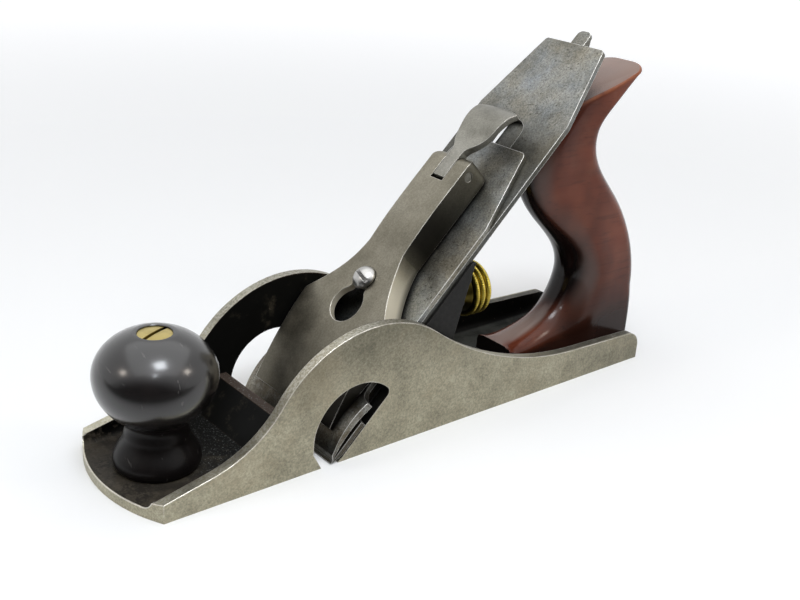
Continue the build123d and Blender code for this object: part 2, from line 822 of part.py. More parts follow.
def make_lateral_lever():
    """Lateral lever: round lower end, pivot hole, long bar, narrower top and a folded thumb tab."""
    half_bar = lateral_width / 2
    back = -lateral_depth - lateral_thickness
    tab_low = lateral_top - lateral_tab
    bar = outline(
        (lateral_disc_a, -half_bar),
        (tab_low - 4, -half_bar),
        (tab_low, -lateral_fold),
        (lateral_top, -lateral_fold),
        (lateral_top, half_bar),
        (lateral_disc_a, half_bar),
    )
    bar = rounded(bar, [(lateral_top, half_bar), (lateral_top, -lateral_fold)], 2.2)
    face = bar + Pos(lateral_disc_a, 0) * Circle(lateral_end_radius)
    lever = Pos(0, 0, back) * extrude(face, lateral_thickness)
    fold_end = lateral_top - 2.2
    flange = outline(
        (tab_low, -lateral_depth),
        (fold_end, -lateral_depth),
        (fold_end, back),
        (tab_low + 2, back - lateral_tab_depth),
        (tab_low, back - lateral_tab_depth),
    )
    lever += side_prism(flange, -lateral_fold, lateral_thickness - lateral_fold)
    lever -= post(lateral_pivot_a, 0, lateral_pin_radius + turn_gap, -lateral_tab_depth, 1)
    lever -= post(lateral_disc_a, 0, lateral_rivet_radius + pin_gap, -lateral_tab_depth, 1)
    return bed * lever


def make_knob():
    """Front knob: turned profile with a flared foot, a waist and a flattened ball."""
    turn = math.acos(knob_neck_top / knob_radius)
    rise = math.asin(1 - knob_flat / knob_half_height)
    ball_low = (knob_neck_top, knob_belly_height - knob_lower_half * math.sin(turn))
    ball_slope = (knob_radius * math.sin(turn), knob_lower_half * math.cos(turn))
    bead_end = (knob_base_radius - 0.7, knob_foot + 3.8)
    profile = make_face(
        [
            Line((0, knob_foot), (knob_base_radius - 0.9, knob_foot)),
            ThreePointArc(
                (knob_base_radius - 0.9, knob_foot),
                (knob_base_radius, knob_foot + 1.8),
                bead_end,
            ),
            Spline(
                bead_end,
                (knob_waist_radius, knob_waist_height),
                ball_low,
                tangents=[(-0.5, 1), ball_slope],
            ),
            EllipticalCenterArc(
                (0, knob_belly_height),
                knob_radius,
                knob_lower_half,
                start_angle=-math.degrees(turn),
                arc_size=math.degrees(turn),
            ),
            EllipticalCenterArc(
                (0, knob_belly_height),
                knob_radius,
                knob_half_height,
                start_angle=0,
                arc_size=math.degrees(rise),
            ),
            Line((knob_radius * math.cos(rise), knob_height), (0, knob_height)),
            Line((0, knob_height), (0, knob_foot)),
        ]
    )
    knob = revolve(Plane.XZ * profile, Axis.Z)
    knob -= post(0, 0, boss_radius + free_gap, knob_foot, knob_foot + boss_height + free_gap)
    knob -= post(0, 0, nut_barrel_radius + pin_gap, knob_foot, knob_height + 1)
    knob -= post(0, 0, nut_head_radius + pin_gap, knob_head_seat, knob_height + 1)
    return Pos(knob_x, 0, 0) * knob


def cap_nut(seat):
    """Slotted nut with its head's underside at height `seat`, blind bore from below."""
    low = seat - nut_barrel
    top = seat + nut_head_height
    edge = top - nut_dome
    profile = make_face(
        [
            Line((0, low), (nut_barrel_radius, low)),
            Line((nut_barrel_radius, low), (nut_barrel_radius, seat)),
            Line((nut_barrel_radius, seat), (nut_head_radius, seat)),
            Line((nut_head_radius, seat), (nut_head_radius, edge)),
            ThreePointArc((nut_head_radius, edge), (nut_head_radius * 0.6, top - 0.3 * nut_dome), (0, top)),
            Line((0, top), (0, low)),
        ]
    )
    nut = revolve(Plane.XZ * profile, Axis.Z)
    nut -= post(0, 0, rod_radius + pin_gap, low - 1, seat - 0.5)
    nut -= block(-0.7, 0.7, -2 * nut_head_radius, 2 * nut_head_radius, top - 1.5, top + nut_head_height)
    return nut


def rod_bar(radius, low, high):
    """A round bar on the handle rod's axis between two distances from the handle's foot."""
    return tote_axis * post(0, 0, radius, low, high)


def grip_point(up, out):
    """Point of the handle's side view: `up` is a share of its height, `out` a share of its top's length.

    The middle line leans from the rod's foot to the front of the top.
    """
    middle = tote_foot_x + up * (tote_front_x - tote_foot_x)
    return (middle + out * tote_top_length, floor_thickness + up * (tote_horn_height - floor_thickness))


def toe_point(back, up):
    """Point of the handle's toe: shares of the way back to the rod's foot and up to the grip."""
    toe_run = tote_toe - tote_foot_x
    toe_rise = tote_toe_meets * (tote_horn_height - floor_thickness)
    return (tote_toe - back * toe_run, floor_thickness + up * toe_rise)


def make_tote():
    """Rear handle: rounded grip with a horn, a sloping flat top and a long squared toe."""
    foot = floor_thickness
    above = tote_horn_height + tote_thickness
    side = tote_thickness / 2
    horn_x = tote_horn_x - tote_horn_round
    horn_z = tote_horn_height - tote_horn_drop
    horn_end = horn_x - tote_horn_sweep
    grip_front = grip_point(0, 0.541)
    grip_face = make_face(
        [
            Line((tote_heel, foot), grip_front),
            Spline(
                grip_front,
                grip_point(0.168, 0.253),
                grip_point(0.286, 0.113),
                grip_point(0.413, 0.147),
                grip_point(0.557, 0.347),
                grip_point(0.675, 0.352),
                grip_point(0.802, 0.228),
                (tote_front_x, above),
                tangents=[(-0.2, 1), (0, 1)],
            ),
            Line((tote_front_x, above), (horn_end, above)),
            Spline(
                (horn_end, above),
                (horn_x, horn_z),
                grip_point(0.910, -0.737),
                grip_point(0.824, -0.459),
                grip_point(0.720, -0.352),
                grip_point(0.567, -0.515),
                grip_point(0.376, -0.676),
                grip_point(0.186, -0.605),
                (tote_heel, foot),
            ),
        ]
    )
    grip = side_prism(grip_face, -side, side)
    grip = fillet(grip.edges().filter_by(GeomType.BSPLINE), tote_round)
    top_corner = Pos(tote_horn_x, 0, tote_horn_height) * Rot(0, tote_top_angle, 0)
    grip -= top_corner * block(-body_length, body_length, -body_width, body_width, 0, body_length)
    horn_rear = horn_end + tote_horn_round
    grip -= block(-body_length, horn_rear, -body_width, body_width, tote_nut_height, body_length)
    toe_top = foot + tote_toe_height
    toe_side = tote_toe_width / 2
    toe_face = make_face(
        [
            Line(toe_point(0.925, 0), (tote_toe, foot)),
            Line((tote_toe, foot), (tote_toe, toe_top)),
            Spline(
                (tote_toe, toe_top),
                toe_point(0.291, 0.289),
                toe_point(0.552, 0.488),
                toe_point(0.726, 1),
                tangents=[(-1, 0.1), (-0.3, 1)],
            ),
            Line(toe_point(0.726, 1), toe_point(0.925, 1)),
            Line(toe_point(0.925, 1), toe_point(0.925, 0)),
        ]
    )
    toe = side_prism(toe_face, -toe_side, toe_side)
    toe = fillet(toe.edges().filter_by(GeomType.BSPLINE), tote_toe_round)
    tote = grip + toe
    tote -= post(tote_foot_x, 0, boss_radius + free_gap, 0, foot + boss_height + free_gap)
    tote -= rod_bar(rod_radius + free_gap, 0, rod_reach)
    tote -= rod_bar(nut_barrel_radius + pin_gap, tote_nut_seat - nut_barrel - 1, rod_reach)
    tote -= rod_bar(nut_head_radius + pin_gap, tote_nut_seat, rod_reach + nut_head_radius)
    return tote


def make_frog_screws():
    """The two slotted frog screws."""
    screws = []
    for side in (-frog_screw_y, frog_screw_y):
        top = screw_seat + frog_screw_head_height
        screw = post(frog_screw_x, side, frog_screw_radius, floor_thickness / 2, screw_seat)
        screw += post(frog_screw_x, side, frog_screw_head, screw_seat, top)
        screw -= block(frog_screw_x - 0.6, frog_screw_x + 0.6, side - 8, side + 8, top - 1.2, top + 1)
        screws.append(screw)
    return screws[0] + screws[1]


def make_frog_washers():
    """The two washers under the frog screws."""
    washers = []
    for side in (-frog_screw_y, frog_screw_y):
        washer = post(frog_screw_x, side, washer_radius, screw_seat - washer_thickness, screw_seat)
        washer -= post(frog_screw_x, side, frog_screw_radius + turn_gap, seat_height, screw_seat + 1)
        washers.append(washer)
    return washers[0] + washers[1]


def make_lever_screw():
    """Lever cap screw with a domed slotted head."""
    head_low = cap_face_height + lever_screw_lift
    top = head_low + lever_screw_head_height
    edge = top - 2.4
    profile = make_face(
        [
            Line((0, -frog_plate - 1), (lever_screw_radius, -frog_plate - 1)),
            Line((lever_screw_radius, -frog_plate - 1), (lever_screw_radius, head_low)),
            Line((lever_screw_radius, head_low), (lever_screw_head, head_low)),
            Line((lever_screw_head, head_low), (lever_screw_head, edge)),
            ThreePointArc((lever_screw_head, edge), (lever_screw_head * 0.66, top - 0.75), (0, top)),
            Line((0, top), (0, -frog_plate - 1)),
        ]
    )
    screw = revolve(Plane.XZ * profile, Axis.Z)
    slot = Rot(0, 0, -18) * block(-0.6, 0.6, -8, 8, top - 1.6, top + 1)
    return bed * Pos(lever_screw_a, 0, 0) * (screw - slot)


def make_cap_screw():
    """Cap iron screw with its broad slotted head behind the cutter."""
    head_top = -lay_gap
    head_low = head_top - cap_screw_head_height
    screw = post(0, 0, cap_screw_head, head_low, head_top)
    screw += post(0, 0, cap_screw_radius, head_top, cap_iron_face + 0.8)
    screw -= block(-0.8, 0.8, -10, 10, head_low - 1, head_low + 1.4)
    return bed * Pos(cap_screw_a, 0, 0) * screw


def make_cap_spring():
    """Leaf spring under the lever cap."""
    spring = block(spring_start, spring_end, -spring_width / 2, spring_width / 2, spring_low, spring_top)
    spring -= post(spring_rivet_a, 0, spring_rivet_radius + pin_gap, 0, spring_top + 1)
    return bed * spring


def make_stud():
    """Threaded adjuster stud, drawn with a plain shank."""
    length = stud_boss_end + stud_depth - stud_end
    return Pos(stud_end + length / 2, 0, stud_height) * Rot(0, 90, 0) * Cylinder(stud_radius, length)


disc_top = iron_thickness - free_gap / 2
disc_low = -lateral_depth
lateral_back = -lateral_depth - lateral_thickness
disc = post(lateral_disc_a, 0, slot_half_width - lateral_disc_gap, disc_low, disc_top)
disc -= post(lateral_disc_a, 0, lateral_rivet_radius + pin_gap, disc_low - 1, disc_top + 1)
ear_face = yoke_finger_width / 2 + yoke_side_gap + ear_thickness
neck_half = cap_neck_width / 2 - 0.2

pieces = {
    "body_casting": make_casting(),
    "frog_screws": make_frog_screws(),
    "frog_washers": make_frog_washers(),
    "front_knob": make_knob(),
    "knob_stud": post(knob_x, 0, rod_radius, floor_thickness / 2, knob_head_seat - 1),
    "knob_nut": Pos(knob_x, 0, 0) * Rot(0, 0, -66) * cap_nut(knob_head_seat),
    "tote": make_tote(),
    "tote_rod": rod_bar(rod_radius, rod_bottom, tote_nut_seat - 1),
    "tote_nut": tote_axis * cap_nut(tote_nut_seat),
    "frog": make_frog(),
    "lever_cap_screw": make_lever_screw(),
    "adjuster_stud": make_stud(),
    "adjuster_nut": make_adjuster_nut(),
    "adjuster_yoke": make_yoke(),
    "yoke_pin": bed * cross_pin(yoke_pivot_a, yoke_pivot_h, yoke_pin_radius, -ear_face, ear_face),
    "lateral_lever": make_lateral_lever(),
    "lateral_pin": bed * post(lateral_pivot_a, 0, lateral_pin_radius, -frog_plate, -lateral_depth),
    "lateral_disc": bed * disc,
    "disc_rivet": bed * post(lateral_disc_a, 0, lateral_rivet_radius, lateral_back, disc_top),
    "plane_iron": make_plane_iron(),
    "cap_iron": make_cap_iron(),
    "cap_iron_screw": make_cap_screw(),
    "lever_cap": make_lever_cap(),
    "cam_lever": make_cam_lever(),
    "cam_pin": bed * cross_pin(cam_pivot_a, cam_pivot_h, cam_pin_radius, -neck_half, neck_half),
    "cap_spring": make_cap_spring(),
    "spring_rivet": bed * post(spring_rivet_a, 0, spring_rivet_radius, spring_low, spring_rivet_top),
}

for name, shape in pieces.items():
    export_step(shape, f"parts/{name}.step")
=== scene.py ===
import json
import math

import bpy
import numpy as np
from mathutils import Matrix, Vector


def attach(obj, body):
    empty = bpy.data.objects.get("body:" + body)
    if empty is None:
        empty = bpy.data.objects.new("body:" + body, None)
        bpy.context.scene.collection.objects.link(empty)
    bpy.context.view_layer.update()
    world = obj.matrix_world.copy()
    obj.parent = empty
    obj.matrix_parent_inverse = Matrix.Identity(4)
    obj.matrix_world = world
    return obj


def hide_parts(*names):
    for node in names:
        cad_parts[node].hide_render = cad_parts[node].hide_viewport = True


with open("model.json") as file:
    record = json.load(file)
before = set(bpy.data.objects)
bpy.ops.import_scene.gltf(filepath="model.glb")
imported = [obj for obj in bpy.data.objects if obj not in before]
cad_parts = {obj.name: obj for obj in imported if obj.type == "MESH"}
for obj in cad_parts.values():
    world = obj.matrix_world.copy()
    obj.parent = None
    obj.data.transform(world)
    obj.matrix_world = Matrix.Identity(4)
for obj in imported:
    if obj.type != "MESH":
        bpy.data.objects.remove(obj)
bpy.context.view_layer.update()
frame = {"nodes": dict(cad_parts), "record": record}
nodes = frame["nodes"]

MM = 0.001

# The picture that the camera is set for
IMAGE_WIDTH = 800.0
SENSOR = 36.0
CAMERA_PLACE = (0.23637, 0.27384, 0.19032)
CAMERA_YAW = 229.136
CAMERA_PITCH = -22.812
CAMERA_ROLL = 4.132
FOCAL_PIXELS = 1107.9
NEAREST_SEEN = 0.01

# Directions
FORWARD = (1.0, 0.0, 0.0)
BACKWARD = (-1.0, 0.0, 0.0)
SIDEWAYS = (0.0, 1.0, 0.0)
UP = (0.0, 0.0, 1.0)

# The bed that the irons lie on, and the inside, openings and ends of the body, in metres
BED_SLOPE = math.sqrt(0.5)
BED_LEVEL = 31.76 * MM
INNER_WALL = 23.4 * MM
FLOOR_TOP = 3.4 * MM
OPENING_LOW = 1.2 * MM
OPENING_TOP = 36.0 * MM
OPENING_MIDDLE = 36.5 * MM
OPENING_REACH = 16.5 * MM
TOE_REACH = 115.0 * MM
TOE_BULGE = 7.5 * MM
BODY_HALF = 27.0 * MM

# Where the knob's upright axis and the depth nut's level axis lie, in millimetres
KNOB_AXIS = 95.2
NUT_AXIS = 36.2

# The handle's sloping top: its upward direction in x and z, the middle of the nut's seat in millimetres,
# and how far out along the upward direction the top lies in metres
TOP_SLOPE = math.radians(20.0)
TOP_LEAN = (math.sin(TOP_SLOPE), math.cos(TOP_SLOPE))
SEAT_MIDDLE = (-75.0, 104.5)
TOP_HEIGHT = (SEAT_MIDDLE[0] * TOP_LEAN[0] + SEAT_MIDDLE[1] * TOP_LEAN[1]) * MM

# Corners of the new surfaces that are sharper than this stay sharp
SHARP_ANGLE = math.radians(38.0)

# Level direction towards the front of the object, where the surround is dim
AHEAD = (0.656, 0.755)

# What the lights point at, and their colours
OBJECT_MIDDLE = (0.0, 0.0, 0.04)
KNOB_BALL = (0.095, 0.0, 0.034)
CEILING_WHITE = (0.97, 0.985, 1.0)
WINDOW_BLUE = (0.90, 0.95, 1.0)
LAMP_YELLOW = (1.0, 0.90, 0.80)


def add_camera():
    """A camera turned by yaw, pitch and roll, with its focal length given in pixels of the picture."""
    yaw, pitch, roll = (math.radians(angle) for angle in (CAMERA_YAW, CAMERA_PITCH, CAMERA_ROLL))
    ahead = Vector((math.cos(pitch) * math.cos(yaw), math.cos(pitch) * math.sin(yaw), math.sin(pitch)))
    level = ahead.cross(Vector(UP)).normalized()
    above = level.cross(ahead)
    right = math.cos(roll) * level + math.sin(roll) * above
    up = math.cos(roll) * above - math.sin(roll) * level
    data = bpy.data.cameras.new("camera")
    data.sensor_width = SENSOR
    data.lens = FOCAL_PIXELS * SENSOR / IMAGE_WIDTH
    data.clip_start = NEAREST_SEEN
    camera = bpy.data.objects.new("camera", data)
    turn = Matrix((right, up, -ahead)).transposed().to_4x4()
    camera.matrix_world = Matrix.Translation(CAMERA_PLACE) @ turn
    bpy.context.scene.collection.objects.link(camera)
    bpy.context.scene.camera = camera


class Tree:
    """A node tree whose nodes are added one call at a time."""

    def __init__(self, tree):
        self.tree = tree

    def add(self, kind, **settings):
        """A new node with the given attributes."""
        node = self.tree.nodes.new(kind)
        for key, value in settings.items():
            setattr(node, key, value)
        return node

    def put(self, socket, value):
        """Sets a socket, or links it where the value is another node's output."""
        if isinstance(value, bpy.types.NodeSocket):
            self.tree.links.new(value, socket)
        elif isinstance(value, tuple) and len(value) == 3 and len(socket.default_value) == 4:
            socket.default_value = (*value, 1.0)
        else:
            socket.default_value = value

    def math(self, operation, *values):
        """One math node."""
        node = self.add("ShaderNodeMath", operation=operation)
        for socket, value in zip(node.inputs, values):
            self.put(socket, value)
        return node.outputs[0]

    def product(self, first, *others):
        """Product of two or more values."""
        result = first
        for other in others:
            result = self.math("MULTIPLY", result, other)
        return result

    def dot(self, first, second):
        """Dot product of two vectors."""
        node = self.add("ShaderNodeVectorMath", operation="DOT_PRODUCT")
        self.put(node.inputs[0], first)
        self.put(node.inputs[1], second)
        return node.outputs["Value"]

    def span(self, value, low, high, first=0.0, last=1.0):
        """Smooth step of a value from low to high, rescaled to run from first to last."""
        node = self.add("ShaderNodeMapRange", interpolation_type="SMOOTHSTEP")
        self.put(node.inputs["Value"], value)
        for key, amount in (("From Min", low), ("From Max", high), ("To Min", first), ("To Max", last)):
            node.inputs[key].default_value = amount
        return node.outputs["Result"]

    def between(self, amount, first, second):
        """Blend of two numbers."""
        node = self.add("ShaderNodeMix", data_type="FLOAT")
        for index, value in ((0, amount), (2, first), (3, second)):
            self.put(node.inputs[index], value)
        return node.outputs[0]


class Paint(Tree):
    """A principled material, on object coordinates."""

    def __init__(self, name):
        self.material = bpy.data.materials.new(name)
        self.material.use_nodes = True
        super().__init__(self.material.node_tree)
        self.shader = self.tree.nodes["Principled BSDF"]
        self.place = self.add("ShaderNodeTexCoord").outputs["Object"]

    def shade(self, values):
        """Sets the shader's inputs by their names."""
        for key, value in values.items():
            self.put(self.shader.inputs[key], value)
        return self.material

    def noise(self, scale, detail, roughness, seed, stretch=(1.0, 1.0, 1.0), turn=0.0):
        """Noise with about `scale` features per metre, stretched along the axes and turned about y."""
        mapping = self.add("ShaderNodeMapping")
        self.put(mapping.inputs["Vector"], self.place)
        mapping.inputs["Location"].default_value = (seed, seed * 0.7, -seed)
        mapping.inputs["Rotation"].default_value = (0.0, turn, 0.0)
        mapping.inputs["Scale"].default_value = stretch
        node = self.add("ShaderNodeTexNoise")
        self.put(node.inputs["Vector"], mapping.outputs[0])
        node.inputs["Scale"].default_value = scale
        node.inputs["Detail"].default_value = detail
        node.inputs["Roughness"].default_value = roughness
        return node.outputs["Fac"]

    def ramp(self, value, stops):
        """Colours along a value."""
        node = self.add("ShaderNodeValToRGB")
        self.put(node.inputs[0], value)
        ramp = node.color_ramp
        while len(ramp.elements) < len(stops):
            ramp.elements.new(0.5)
        for element, (position, colour) in zip(ramp.elements, stops):
            element.position = position
            element.color = (*colour, 1.0)
        return node.outputs["Color"]

    def grey(self, value):
        """A colour with the same value in all three channels."""
        node = self.add("ShaderNodeCombineColor")
        for socket in node.inputs:
            self.put(socket, value)
        return node.outputs[0]

    def mix(self, amount, first, second, blend="MIX"):
        """Blend of two colours."""
        node = self.add("ShaderNodeMix", data_type="RGBA", blend_type=blend)
        self.put(node.inputs["Factor"], amount)
        self.put(node.inputs[6], first)
        self.put(node.inputs[7], second)
        return node.outputs[2]

    def bump(self, height, distance, strength, normal=None):
        """Surface relief of the given depth in metres."""
        node = self.add("ShaderNodeBump")
        node.inputs["Strength"].default_value = strength
        node.inputs["Distance"].default_value = distance
        self.put(node.inputs["Height"], height)
        if normal is not None:
            self.put(node.inputs["Normal"], normal)
        self.put(self.shader.inputs["Normal"], node.outputs[0])

    def axes(self):
        """The three object coordinates."""
        node = self.add("ShaderNodeSeparateXYZ")
        self.put(node.inputs[0], self.place)
        return node.outputs[0], node.outputs[1], node.outputs[2]

    def normal(self):
        """The normal of the surface as it is."""
        return self.add("ShaderNodeNewGeometry").outputs["Normal"]

    def facing(self, direction):
        """How far the surface faces a direction: the dot product of its normal with it."""
        return self.dot(self.normal(), direction)

    def round_normal(self, radius):
        """The normal of the surface with its corners rounded to a radius."""
        node = self.add("ShaderNodeBevel", samples=6)
        node.inputs["Radius"].default_value = radius
        return node.outputs[0]

    def corners(self, radius):
        """1 on corners and 0 on open faces: how far the rounded normal leans from the plain one."""
        level, leaning = 0.995, 0.86
        return self.span(self.dot(self.round_normal(radius), self.normal()), level, leaning)

    def openness(self, distance):
        """1 on open faces, towards 0 in hollows and under neighbours."""
        node = self.add("ShaderNodeAmbientOcclusion", samples=4)
        node.inputs["Distance"].default_value = distance
        return node.outputs["AO"]

    def worn_edges(self, radius, low=0.35, high=0.6):
        """Rubbed outer corners, broken up by noise; inner corners stay dull because they aren't open."""
        outer = self.span(self.openness(4 * radius), 0.78, 0.95)
        broken = self.span(self.noise(160.0, 4.0, 0.6, 5.0), low, high, 0.35, 1.0)
        return self.product(self.corners(radius), outer, broken)


def iron_tone(paint, dark, middle, light, seed, grit_share):
    """Old bare iron: cloudy patina under a share of fine grit, with small dark specks where it is stained."""
    dark_grit, light_grit = (0.36, 0.36, 0.36), (1.10, 1.10, 1.10)
    cloud = paint.noise(75.0, 6.0, 0.62, seed)
    tone = paint.ramp(cloud, [(0.32, dark), (0.50, middle), (0.68, light)])
    grain = paint.noise(1500.0, 3.0, 0.75, seed + 1)
    grit = paint.ramp(grain, [(0.36, dark_grit), (0.66, light_grit)])
    tone = paint.mix(grit_share, tone, grit, "MULTIPLY")
    speck = paint.span(paint.noise(620.0, 2.0, 0.5, seed + 2), 0.36, 0.28)
    stain = paint.span(paint.noise(30.0, 3.0, 0.6, seed + 3), 0.45, 0.62)
    return paint.mix(paint.product(speck, paint.math("MULTIPLY_ADD", stain, 0.45, 0.15)), tone, dark)


def enamelled_area(paint, x, y, z, to_toe):
    """1 on enamelled faces: inside the walls, above the floor, behind the toe's edge and in the openings."""
    inside = paint.product(
        paint.math("LESS_THAN", paint.math("ABSOLUTE", y), INNER_WALL + 0.15 * MM),
        paint.math("GREATER_THAN", z, FLOOR_TOP - 0.3 * MM),
        paint.math("GREATER_THAN", to_toe, 0.4 * MM),
    )
    cut = paint.product(
        paint.span(paint.math("ABSOLUTE", paint.facing(SIDEWAYS)), 0.6, 0.4),
        paint.math("LESS_THAN", z, OPENING_TOP),
        paint.math("GREATER_THAN", z, OPENING_LOW),
        paint.math("COMPARE", x, OPENING_MIDDLE, OPENING_REACH),
    )
    return paint.math("MAXIMUM", inside, cut)


def bare_body(paint, x, z):
    """The body's bare iron: darker high up and at the heel, a little paler at the toe, with brown stains."""
    dark, middle, light = (0.302, 0.281, 0.208), (0.398, 0.370, 0.273), (0.455, 0.424, 0.318)
    iron = iron_tone(paint, dark, middle, light, 0.0, 0.6)
    high = paint.span(z, 18.0 * MM, 44.0 * MM, 1.0, 0.60)
    heel = paint.span(x, -50.0 * MM, -112.0 * MM, 1.0, 0.70)
    toe = paint.span(x, 45.0 * MM, 100.0 * MM, 1.0, 1.10)
    iron = paint.mix(1.0, iron, paint.grey(paint.product(high, heel, toe)), "MULTIPLY")
    stain = paint.span(paint.noise(28.0, 5.0, 0.65, 35.0), 0.52, 0.70, 0.0, 0.4)
    brown = (0.290, 0.245, 0.165)
    return paint.mix(stain, iron, brown)


def body_enamel(paint, x, z, inside, chips):
    """The body's black enamel: rusty, chipped and thin towards the toe, with brown ledges and dusty floors.

    The toe's floor is brown with pale flecks, and the floor behind the frog is grey.
    """
    black, rusty = (0.0042, 0.0042, 0.0038), (0.050, 0.042, 0.030)
    ledge_brown, chip_brown = (0.062, 0.045, 0.036), (0.085, 0.072, 0.055)
    toe_dust, rear_dust, pale = (0.044, 0.038, 0.031), (0.060, 0.062, 0.056), (0.30, 0.31, 0.30)
    up = paint.facing(UP)
    floor = paint.span(up, 0.7, 0.9)
    thin = paint.span(x, 66.0 * MM, 112.0 * MM, 0.0, 0.16)
    rust = paint.math("ADD", paint.noise(110.0, 6.0, 0.7, 21.0), thin)
    enamel = paint.mix(paint.span(rust, 0.56, 0.76), black, rusty)
    ledge = paint.product(paint.span(up, 0.85, 0.95), paint.span(z, 6.0 * MM, 8.0 * MM), inside)
    enamel = paint.mix(paint.product(ledge, 0.7), enamel, ledge_brown)
    chipped = paint.span(paint.math("ADD", chips, thin), 0.66, 0.76, 0.0, 0.6)
    enamel = paint.mix(chipped, enamel, chip_brown)
    dusty = paint.product(paint.span(x, 72.0 * MM, 96.0 * MM), floor)
    enamel = paint.mix(paint.product(dusty, 0.45), enamel, toe_dust)
    rear = paint.product(paint.span(x, -14.0 * MM, -30.0 * MM), floor)
    enamel = paint.mix(paint.product(rear, paint.span(rust, 0.38, 0.60, 0.35, 0.8)), enamel, rear_dust)
    fleck = paint.product(
        paint.span(paint.noise(1500.0, 3.0, 0.7, 23.0), 0.57, 0.68, 0.0, 0.45),
        paint.span(x, 52.0 * MM, 60.0 * MM),
        paint.span(x, 80.0 * MM, 96.0 * MM, 1.0, 0.12),
        floor,
    )
    return paint.mix(fleck, enamel, pale)


def body_finish():
    """Body casting: bare iron outside and enamel inside, with rims dusty at the rear and rubbed in front.

    The outer corners and the toe's edge are worn bright, and the enamel's corners are worn brown.
    """
    worn_brown, rubbed, bright = (0.095, 0.066, 0.048), (0.66, 0.64, 0.58), (0.78, 0.75, 0.69)
    dirt, dust, bare_spot = (0.030, 0.029, 0.025), (0.075, 0.072, 0.063), (0.30, 0.29, 0.27)
    paint = Paint("body_iron")
    x, y, z = paint.axes()
    up = paint.facing(UP)
    share = paint.math("DIVIDE", y, BODY_HALF)
    toe_curve = paint.math("MULTIPLY_ADD", paint.product(share, share), -TOE_BULGE, TOE_REACH)
    to_toe = paint.math("SUBTRACT", toe_curve, x)
    inside = enamelled_area(paint, x, y, z, to_toe)
    chips = paint.noise(420.0, 4.0, 0.7, 11.0)
    colour = paint.mix(inside, bare_body(paint, x, z), body_enamel(paint, x, z, inside, chips))
    worn = paint.worn_edges(0.7 * MM)
    colour = paint.mix(paint.product(worn, paint.product(inside, 0.7)), colour, worn_brown)
    inward = paint.span(paint.math("ABSOLUTE", y), BODY_HALF - 0.5 * MM, BODY_HALF - 1.0 * MM, 0.0, 0.85)
    dusty_rim = paint.product(
        paint.span(up, 0.80, 0.93),
        paint.span(x, -46.0 * MM, -62.0 * MM),
        paint.math("GREATER_THAN", z, FLOOR_TOP + 1.5 * MM),
        inward,
    )
    colour = paint.mix(dusty_rim, colour, paint.ramp(chips, [(0.42, dirt), (0.62, dust), (0.72, bare_spot)]))
    rubbed_rim = paint.product(
        paint.span(up, 0.30, 0.55),
        paint.span(x, -6.0 * MM, 12.0 * MM),
        paint.math("SUBTRACT", 1.0, inside),
        paint.span(paint.noise(1100.0, 3.0, 0.7, 37.0), 0.40, 0.62, 0.05, 0.42),
    )
    colour = paint.mix(rubbed_rim, colour, rubbed)
    outside = paint.span(inside, 0.0, 1.0, 0.9, 0.0)
    toe_edge = paint.span(to_toe, 1.5 * MM, 0.5 * MM)
    rub = paint.product(worn, paint.math("MAXIMUM", outside, toe_edge))
    colour = paint.mix(rub, colour, bright)
    rough = paint.span(paint.noise(90.0, 5.0, 0.6, 31.0), 0.3, 0.7, 0.36, 0.5)
    rough = paint.math("SUBTRACT", rough, paint.product(rub, 0.15))
    bared = paint.math("SUBTRACT", 1.0, paint.math("MAXIMUM", inside, dusty_rim))
    metal = paint.math("MAXIMUM", bared, paint.product(rub, 0.6))
    paint.bump(paint.noise(1300.0, 3.0, 0.6, 41.0), 0.02 * MM, 0.5, paint.round_normal(0.5 * MM))
    paint.shade({"Base Color": colour, "Metallic": metal, "Roughness": rough})
    return paint.shade({"Specular IOR Level": 0.07})


